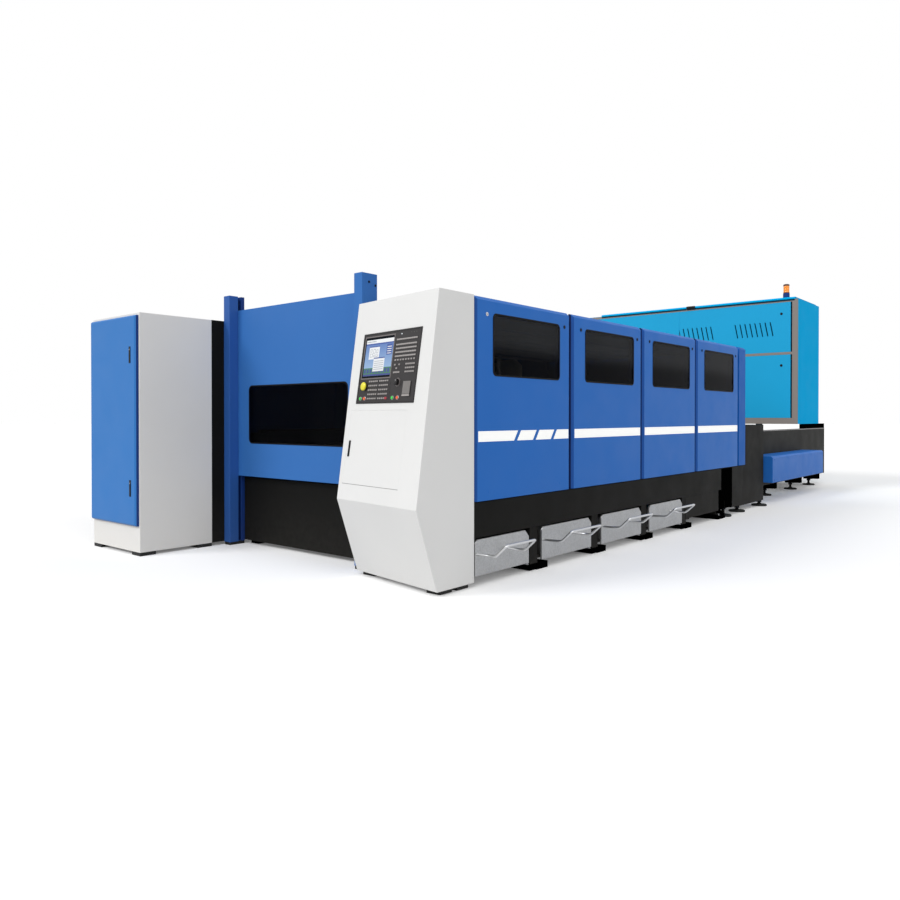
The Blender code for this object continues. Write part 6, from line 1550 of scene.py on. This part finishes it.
CABINET_FEET_TOP = 0.029
FILTER_RISES = (0.42, 1.70)
FILTER_SIZE = 0.26
LATCH_GAP = 0.0006
LATCH_RIM = 0.0039


def dress_cabinet(sizes):
    """The softened cabinet with its filters, its door with painted shade on its right edge and underside,
    latch frames and latch locks.
    """
    def shade_edge_or_front(centre, normal):
        # The door's right edge and underside take the darker blue: painted shade.
        return 1 if normal.x > 0.8 or normal.z < -0.8 else 0

    skin("cabinet_casing", "cabinet_body", "machine", "pale_grey_enamel",
         ("cabinet_pale", "foot_black"), sizes.casing_round, least_face=0.02,
         rule=rubber_below(CABINET_FEET_TOP))
    skin("cabinet_door_skin", "cabinet_door", "cabinet_door", "door_blue_enamel",
         ("cabinet_blue", "edge_blue"), 0.003, least_face=0.004, rule=shade_edge_or_front)
    low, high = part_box("cabinet_body")
    parts = []
    for rise in FILTER_RISES:
        place = (low.x, (low.y + high.y) / 2, low.z + rise)
        parts += vent_panel(place, (-1, 0, 0), FILTER_SIZE, FILTER_SIZE, "machine_grey")
    piece("cabinet_filters", assembled(parts), "machine", "machine_grey_enamel")

    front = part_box("cabinet_door")[0].y
    around = LATCH_GAP + LATCH_RIM
    for level in ("upper", "lower"):
        latch = f"cabinet_latch_{level}"
        low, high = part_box(latch)
        bars = [(block((x0, front - 0.0020, z0), (x1, front + 0.0010, z1), 0.0006, 1), "latch")
                for x0, z0, x1, z1 in border(low.x - around, low.z - around, high.x + around,
                                             high.z + around, LATCH_RIM)]
        piece(f"latch_frame_{level}", assembled(bars), "cabinet_door", "black_latch_plastic")
        lock = lathe([(0.0, 0.0008), (0.0050, 0.0008), (0.0060, 0.0), (0.0, -0.0004)], 20)
        spot = facing(((low.x + high.x) / 2, low.y - 0.0001, high.z - 0.022), (0, -1, 0))
        piece(f"latch_lock_{level}", assembled([(placed(lock, spot), "bolt")]), latch, "bright_steel")


class LASERCUTTER_OT_cabinet(bpy.types.Operator):
    """Dress the control cabinet"""
    bl_idname = "lasercutter.cabinet"
    bl_label = "Control cabinet"

    def execute(self, context):
        dress_cabinet(context.scene.laser_cutter_sizes)
        return {"FINISHED"}


# Gantry and pallets

def dress_gantry():
    """The softened gantry beam and the carriage's cover."""
    skin("gantry_casing", "gantry_beam", "gantry_beam", "machine_grey_enamel", ("machine_grey",),
         0.004)
    skin("carriage_cover", "head_carriage", "head_carriage", "pale_grey_enamel", ("pale",), 0.005)


class LASERCUTTER_OT_gantry(bpy.types.Operator):
    """Dress the gantry"""
    bl_idname = "lasercutter.gantry"
    bl_label = "Gantry"

    def execute(self, context):
        dress_gantry()
        return {"FINISHED"}


RAIL_WIDTH = 0.062
RAIL_HEIGHT = 0.080
RAIL_LAP = 0.002
TOOTH_FOOT = 0.075
SLAT_THICKNESS = 0.003


def dress_pallets(sizes):
    """Pallets with a welded frame and close rows of serrated slats."""
    for name in ("pallet_upper", "pallet_lower"):
        low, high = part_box(name)
        inner_left = low.x + RAIL_WIDTH
        inner_right = high.x - RAIL_WIDTH
        inner_near = low.y + RAIL_WIDTH
        inner_far = high.y - RAIL_WIDTH
        parts = []
        for x0, y0, x1, y1 in ((low.x, low.y, inner_left, high.y), (inner_right, low.y, high.x, high.y),
                               (inner_left - RAIL_LAP, low.y, inner_right + RAIL_LAP, inner_near),
                               (inner_left - RAIL_LAP, inner_far, inner_right + RAIL_LAP, high.y)):
            parts.append((block((x0, y0, low.z), (x1, y1, low.z + RAIL_HEIGHT), 0.004), "pallet"))
        span = inner_right - inner_left
        for share in (1 / 3, 2 / 3):
            x = inner_left + share * span
            bm = block((x - 0.025, inner_near - RAIL_LAP, low.z + 0.004),
                       (x + 0.025, inner_far + RAIL_LAP, low.z + 0.026), 0.002)
            parts.append((bm, "pallet"))
        length = inner_far - inner_near
        count = max(2, round(length / sizes.slat_pitch))
        teeth = max(2, round(span / sizes.tooth_pitch))
        slats = grown("slat", "pallet", empty_seed(),
                      {"Slat count": count, "Slat pitch": length / count, "Points": 2 * teeth + 1,
                       "Half tooth": span / teeth / 2, "Tooth height": high.z - low.z - TOOTH_FOOT,
                       "Slat height": 0.050, "Slat thickness": SLAT_THICKNESS})
        first = inner_near + length / count / 2 - SLAT_THICKNESS / 2
        parts.append((as_shape(slats, at(inner_left, first, low.z + TOOTH_FOOT)), "pallet"))
        piece(f"slatted_{name}", assembled(parts, 30.0), name, "pallet_steel", name)


class LASERCUTTER_OT_pallets(bpy.types.Operator):
    """Build the slatted pallets"""
    bl_idname = "lasercutter.pallets"
    bl_label = "Pallets"

    def execute(self, context):
        dress_pallets(context.scene.laser_cutter_sizes)
        return {"FINISHED"}


# Service housing

# The louvres on the upper door: each group's first slot from the shell's right side
LOUVRE_GROUPS = (0.375, 1.345)
LOUVRE_MIDDLE = 0.0315
LOUVRE_RISE = 0.3775
LOUVRE_LEAN = math.atan2(0.045, 0.225)
# How far the locks lie below the top of their doors, and in from their right edge
HOUSING_LOCKS = (("housing_upper_door", 0.179), ("housing_lower_door", 0.169))
HOUSING_LOCK_IN = 0.139
# The vents on the rear, from its middle and from its lower edge
VENT_OUT = 1.20
VENT_RISE = 1.30


def vent_panel(place, out, width, height, finish):
    """A screwed-on frame with slanting vent blades over a dark backing."""
    spot = facing(place, out)
    rim = 0.022
    clear_width = width - 2 * rim
    clear_height = height - 2 * rim
    parts = [(placed(block((x0, y0, -0.0005), (x1, y1, 0.006), 0.0015, 1), spot), finish)
             for x0, y0, x1, y1 in border(-width / 2, -height / 2, width / 2, height / 2, rim)]
    backing = block((-clear_width / 2, -clear_height / 2, -0.0005),
                    (clear_width / 2, clear_height / 2, 0.0008))
    parts.append((placed(backing, spot), "seal"))
    count = max(3, round(clear_height / 0.026))
    pitch = clear_height / count
    blades = grown("blade", finish, empty_seed(),
                   {"Count": count, "Pitch": pitch, "Blade width": 0.0012, "Blade depth": 0.0085,
                    "Blade length": clear_width, "Lean": 0.0, "Tilt": math.radians(50.0)})
    row = spot @ at(0.0, (pitch - clear_height) / 2, 0.0045) @ facing((0, 0, 0), (1, 0, 0))
    parts.append((as_shape(blades, row), finish))
    return parts


def rear_of_housing(low, high):
    """The two vents and the rows of bolts on the shell's rear."""
    middle = (low.x + high.x) / 2
    parts = []
    for centre in (middle - VENT_OUT, middle + VENT_OUT):
        parts += vent_panel((centre, high.y, low.z + VENT_RISE), (0, 1, 0), 0.62, 0.44,
                            "housing_side")
    piece("rear_vents", assembled(parts), "machine", "cyan_enamel")
    spots = [((low.x + 0.03 + column * (high.x - low.x - 0.06) / 8, high.y, z), (0, 1, 0))
             for column in range(9) for z in (low.z + 0.03, high.z - 0.035)]
    bolt_row("rear_bolts", "bright_steel", "dark_bolt", spots, 0.013, 0.004, 0.010, 0.0012)


def housing_doors(right):
    """The louvres' blades behind the upper door's slots, dark teal as painted shade, and both doors'
    locks.
    """
    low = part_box("housing_upper_door")[0]
    parts = []
    for first in LOUVRE_GROUPS:
        # The blades are dark teal so that the slots read dark: painted shade.
        blades = grown("blade", "lid_seal", empty_seed(),
                       {"Count": 8, "Pitch": -0.080, "Blade width": 0.0015, "Blade depth": 0.024,
                        "Blade length": 0.226, "Lean": -LOUVRE_LEAN, "Tilt": math.radians(40.0)})
        spot = at(right - first - LOUVRE_MIDDLE, low.y + 0.016, low.z + LOUVRE_RISE)
        parts.append((as_shape(blades, spot), "lid_seal"))
    piece("louvre_blades", assembled(parts), "housing_upper_door", "cyan_enamel")
    for name, drop in HOUSING_LOCKS:
        low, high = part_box(name)
        spot = facing((high.x - HOUSING_LOCK_IN, low.y, high.z - drop), (0, -1, 0))
        piece(f"{name}_lock", assembled(quarter_turn_lock(0.020, spot, "dark_bolt")), name,
              "black_latch_plastic")


def lids_and_clip():
    """Dark teal strips of painted shade under the lids' front edges, and the clip that holds the lids."""
    frame_low, frame_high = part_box("housing_frame")
    parts = []
    for name in ("housing_lid_left", "housing_lid_right"):
        low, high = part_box(name)
        # Painted shade: a dark teal strip stands for the shadowed gap under each lid's front edge.
        strip = block((low.x + 0.004, frame_low.y - 0.0016, frame_high.z - 0.024),
                      (high.x - 0.004, frame_low.y + 0.001, frame_high.z - 0.0005), 0.0006)
        parts.append((strip, "lid_seal"))
    piece("lid_seals", assembled(parts), "machine", "black_latch_plastic")
    spot = at(low.x + 0.080, low.y - 0.0005, low.z + 0.012)
    clip = [block((-0.075, -0.012, -0.020), (0.075, 0.0, 0.024), 0.003),
            block((-0.030, -0.018, -0.012), (0.030, -0.010, 0.012), 0.003)]
    piece("lid_clip", assembled([(placed(bm, spot), "latch") for bm in clip]), "housing_lid_right",
          "black_latch_plastic")


def warning_light():
    """The beacon's turned foot, and its ringed lens between a dark cap and a dark band."""
    low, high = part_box("beacon_base")
    dome_low, dome_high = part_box("beacon_dome")
    centre = ((low.x + high.x) / 2, (low.y + high.y) / 2)
    radius = (high.x - low.x) / 2
    neck = (dome_high.x - dome_low.x) / 2
    tall = high.z - low.z
    foot = lathe([(0.0, tall), (neck, tall), (neck, tall * 0.90), (neck * 1.06, tall * 0.88),
                  (neck * 1.06, tall * 0.10), (radius, tall * 0.07), (radius, 0.0), (0.0, 0.0)], 40)
    # The beacon's foot is dark blue.
    piece("beacon_foot", assembled([(placed(foot, at(*centre, low.z)), "edge_blue")], 40.0),
          "housing_lid_right", "frame_blue_enamel", "beacon_base")

    top = dome_high.z - dome_low.z
    straight = top - 0.030
    profile = [(0.0, straight), (neck * 0.93, straight)]
    rings = 10
    flank = straight / rings * 0.35
    for ring in range(rings):
        z = straight * (1 - (ring + 0.5) / rings)
        profile += [(neck * 0.93, z + flank), (neck * 0.97, z), (neck * 0.93, z - flank)]
    profile += [(neck * 0.93, 0.0), (0.0, 0.0)]
    cap = lathe([(0.0, top), (neck * 0.55, top - 0.001), (neck * 0.86, top - 0.006),
                 (neck, top - 0.014), (neck, straight - 0.002), (0.0, straight - 0.002)], 40)
    band = lathe([(neck * 0.90, 0.010), (neck, 0.009), (neck, 0.0), (neck * 0.90, 0.0),
                  (neck * 0.90, 0.010)], 40)
    spot = at(*centre, dome_low.z)
    parts = [(placed(lathe(profile, 40), spot), "beacon"), (placed(cap, spot), "beacon_cap"),
             (placed(band, spot), "beacon_cap")]
    piece("beacon_lens", assembled(parts, 40.0), "housing_lid_right", "beacon_orange_plastic",
          "beacon_dome")


def dress_housing(sizes):
    """Softened skins, vents, louvre blades, locks, the lids' clip and the warning light."""
    for name, body, finish, slot in (
            ("housing_shell", "machine", "housing_side", "cyan_enamel"),
            ("housing_front_panel", "machine", "housing_front", "cyan_enamel"),
            ("housing_lower_door", "housing_lower_door", "housing_front", "cyan_enamel"),
            ("housing_lid_left", "housing_lid_left", "housing_side", "cyan_enamel"),
            ("housing_lid_right", "housing_lid_right", "housing_side", "cyan_enamel"),
            ("housing_frame", "machine", "housing_tube", "frame_grey_enamel")):
        skin(f"{name}_skin", name, body, slot, (finish,), sizes.edge_round)
    low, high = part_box("housing_shell")
    rear_of_housing(low, high)
    housing_doors(high.x)
    lids_and_clip()
    warning_light()


class LASERCUTTER_OT_housing(bpy.types.Operator):
    """Dress the service housing and its warning light"""
    bl_idname = "lasercutter.housing"
    bl_label = "Service housing"

    def execute(self, context):
        dress_housing(context.scene.laser_cutter_sizes)
        return {"FINISHED"}


# Stage: floor, light and camera

def seen_directly(tree):
    """One for the rays that the camera, mirrors and panes send out, else zero."""
    path = add(tree, "ShaderNodeLightPath").outputs
    seen = maths(tree, "MAXIMUM", path["Is Camera Ray"], path["Is Glossy Ray"])
    return maths(tree, "MAXIMUM", seen, path["Is Transmission Ray"])


def white_world(strength):
    """An even sky; the camera, mirrors and panes see it pure white."""
    world = bpy.data.worlds.new("studio_sky")
    world.use_nodes = True
    tree = world.node_tree
    tree.nodes.clear()
    even = add(tree, "ShaderNodeBackground", {"Color": (1, 1, 1, 1), "Strength": strength})
    white = add(tree, "ShaderNodeBackground", {"Color": (1, 1, 1, 1), "Strength": 1.0})
    mixed = add(tree, "ShaderNodeMixShader", {0: seen_directly(tree), 1: even.outputs[0],
                                              2: white.outputs[0]})
    add(tree, "ShaderNodeOutputWorld", {"Surface": mixed.outputs[0]})
    bpy.context.scene.world = world


def floor_finish(lift):
    """Pale seamless paper: for the camera it is lifted to white, and it keeps the shadow."""
    material, tree, _ = new_finish("studio_floor")
    paper = add(tree, "ShaderNodeBsdfDiffuse", {"Color": (0.62, 0.62, 0.62, 1.0)})
    white = add(tree, "ShaderNodeBsdfDiffuse", {"Color": (0.97, 0.97, 0.97, 1.0)})
    glow = add(tree, "ShaderNodeEmission", {"Color": (1, 1, 1, 1), "Strength": lift})
    bright = add(tree, "ShaderNodeAddShader", {0: white.outputs[0], 1: glow.outputs[0]})
    mixed = add(tree, "ShaderNodeMixShader", {0: seen_directly(tree), 1: paper.outputs[0],
                                              2: bright.outputs[0]})
    add(tree, "ShaderNodeOutputMaterial", {"Surface": mixed.outputs[0]})
    return material


def soft_lamp(name, towards, strength, spread_deg):
    """A sun whose light comes from one side, softened by its width."""
    data = bpy.data.lights.new(name, "SUN")
    data.energy = strength
    data.angle = math.radians(spread_deg)
    lamp = bpy.data.objects.new(name, data)
    bpy.context.scene.collection.objects.link(lamp)
    lamp.rotation_mode = "QUATERNION"
    lamp.rotation_quaternion = Vector(towards).to_track_quat("Z", "Y")


# Where the lamps' light comes from, and how wide each looks in degrees
LAMPS = (("key", (-0.38, -0.73, 0.56), 22.0), ("second", (0.30, -0.72, 0.62), 28.0),
         ("fill", (0.80, -0.20, 0.57), 30.0))
CAMERA_PLACE = (5.1873, -8.64165, 1.1678)
CAMERA_DOWN = 0.0085
CAMERA_TURN = 0.7016
CAMERA_LENS = 30.375
CAMERA_SHIFT = -0.030
FLOOR_REACH = 120.0
FLOOR_DROP = 0.0005


def build_stage(light):
    """The floor, the lamps and the camera at the photograph's place."""
    mesh = bpy.data.meshes.new("studio_floor")
    corners = ((-1, -1), (1, -1), (1, 1), (-1, 1))
    mesh.from_pydata([(x * FLOOR_REACH, y * FLOOR_REACH, -FLOOR_DROP) for x, y in corners], [],
                     [(0, 1, 2, 3)])
    mesh.materials.append(floor_finish(0.12))
    floor = bpy.data.objects.new("studio_floor", mesh)
    bpy.context.scene.collection.objects.link(floor)
    white_world(light.sky)
    for name, towards, spread_deg in LAMPS:
        soft_lamp(f"{name}_lamp", towards, getattr(light, name), spread_deg)
    data = bpy.data.cameras.new("camera")
    data.lens = CAMERA_LENS
    data.sensor_width = 36.0
    data.shift_y = CAMERA_SHIFT
    data.clip_start = 0.1
    data.clip_end = 400.0
    camera = bpy.data.objects.new("camera", data)
    bpy.context.scene.collection.objects.link(camera)
    camera.location = CAMERA_PLACE
    camera.rotation_euler = (math.pi / 2 - CAMERA_DOWN, 0.0, CAMERA_TURN)
    bpy.context.scene.camera = camera
    bpy.context.scene.view_settings.view_transform = "Standard"


class LASERCUTTER_OT_stage(bpy.types.Operator):
    """Set up the floor, the studio light and the camera"""
    bl_idname = "lasercutter.stage"
    bl_label = "Stage"

    def execute(self, context):
        build_stage(context.scene.laser_cutter_light)
        return {"FINISHED"}


# Panel and registration

STEPS = (LASERCUTTER_OT_finishes, LASERCUTTER_OT_side_doors, LASERCUTTER_OT_enclosure,
         LASERCUTTER_OT_front, LASERCUTTER_OT_drawers, LASERCUTTER_OT_bed, LASERCUTTER_OT_console,
         LASERCUTTER_OT_cabinet, LASERCUTTER_OT_gantry, LASERCUTTER_OT_pallets,
         LASERCUTTER_OT_housing, LASERCUTTER_OT_stage)


class LASERCUTTER_PT_sidebar(bpy.types.Panel):
    """Steps and settings of the laser cutting machine"""
    bl_label = "Laser cutter"
    bl_space_type = "VIEW_3D"
    bl_region_type = "UI"
    bl_category = "Laser cutter"

    def draw(self, context):
        for step in STEPS:
            self.layout.operator(step.bl_idname)
        for group in ("laser_cutter_colours", "laser_cutter_sizes", "laser_cutter_light"):
            box = self.layout.box()
            settings = getattr(context.scene, group)
            for name in settings.bl_rna.properties.keys():
                if name not in ("rna_type", "name"):
                    box.prop(settings, name)


CLASSES = (LaserCutterColours, LaserCutterSizes, LaserCutterLight, *STEPS, LASERCUTTER_PT_sidebar)


def register():
    """Add the classes and the scene's settings."""
    for kind in CLASSES:
        bpy.utils.register_class(kind)
    bpy.types.Scene.laser_cutter_colours = bpy.props.PointerProperty(type=LaserCutterColours)
    bpy.types.Scene.laser_cutter_sizes = bpy.props.PointerProperty(type=LaserCutterSizes)
    bpy.types.Scene.laser_cutter_light = bpy.props.PointerProperty(type=LaserCutterLight)


def unregister():
    """Take them away again."""
    del bpy.types.Scene.laser_cutter_colours
    del bpy.types.Scene.laser_cutter_sizes
    del bpy.types.Scene.laser_cutter_light
    for kind in reversed(CLASSES):
        bpy.utils.unregister_class(kind)


def main():
    """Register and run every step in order."""
    register()
    TREES.update(bolt=bolt_tree(), seal=seal_tree(), key=key_tree(), blade=blade_tree(),
                 tick=tick_tree(), slat=slat_tree())
    bpy.ops.lasercutter.finishes()
    bpy.ops.lasercutter.side_doors()
    bpy.ops.lasercutter.enclosure()
    bpy.ops.lasercutter.front()
    bpy.ops.lasercutter.drawers()
    bpy.ops.lasercutter.bed()
    bpy.ops.lasercutter.console()
    bpy.ops.lasercutter.cabinet()
    bpy.ops.lasercutter.gantry()
    bpy.ops.lasercutter.pallets()
    bpy.ops.lasercutter.housing()
    bpy.ops.lasercutter.stage()


if __name__ == "__main__":
    main()
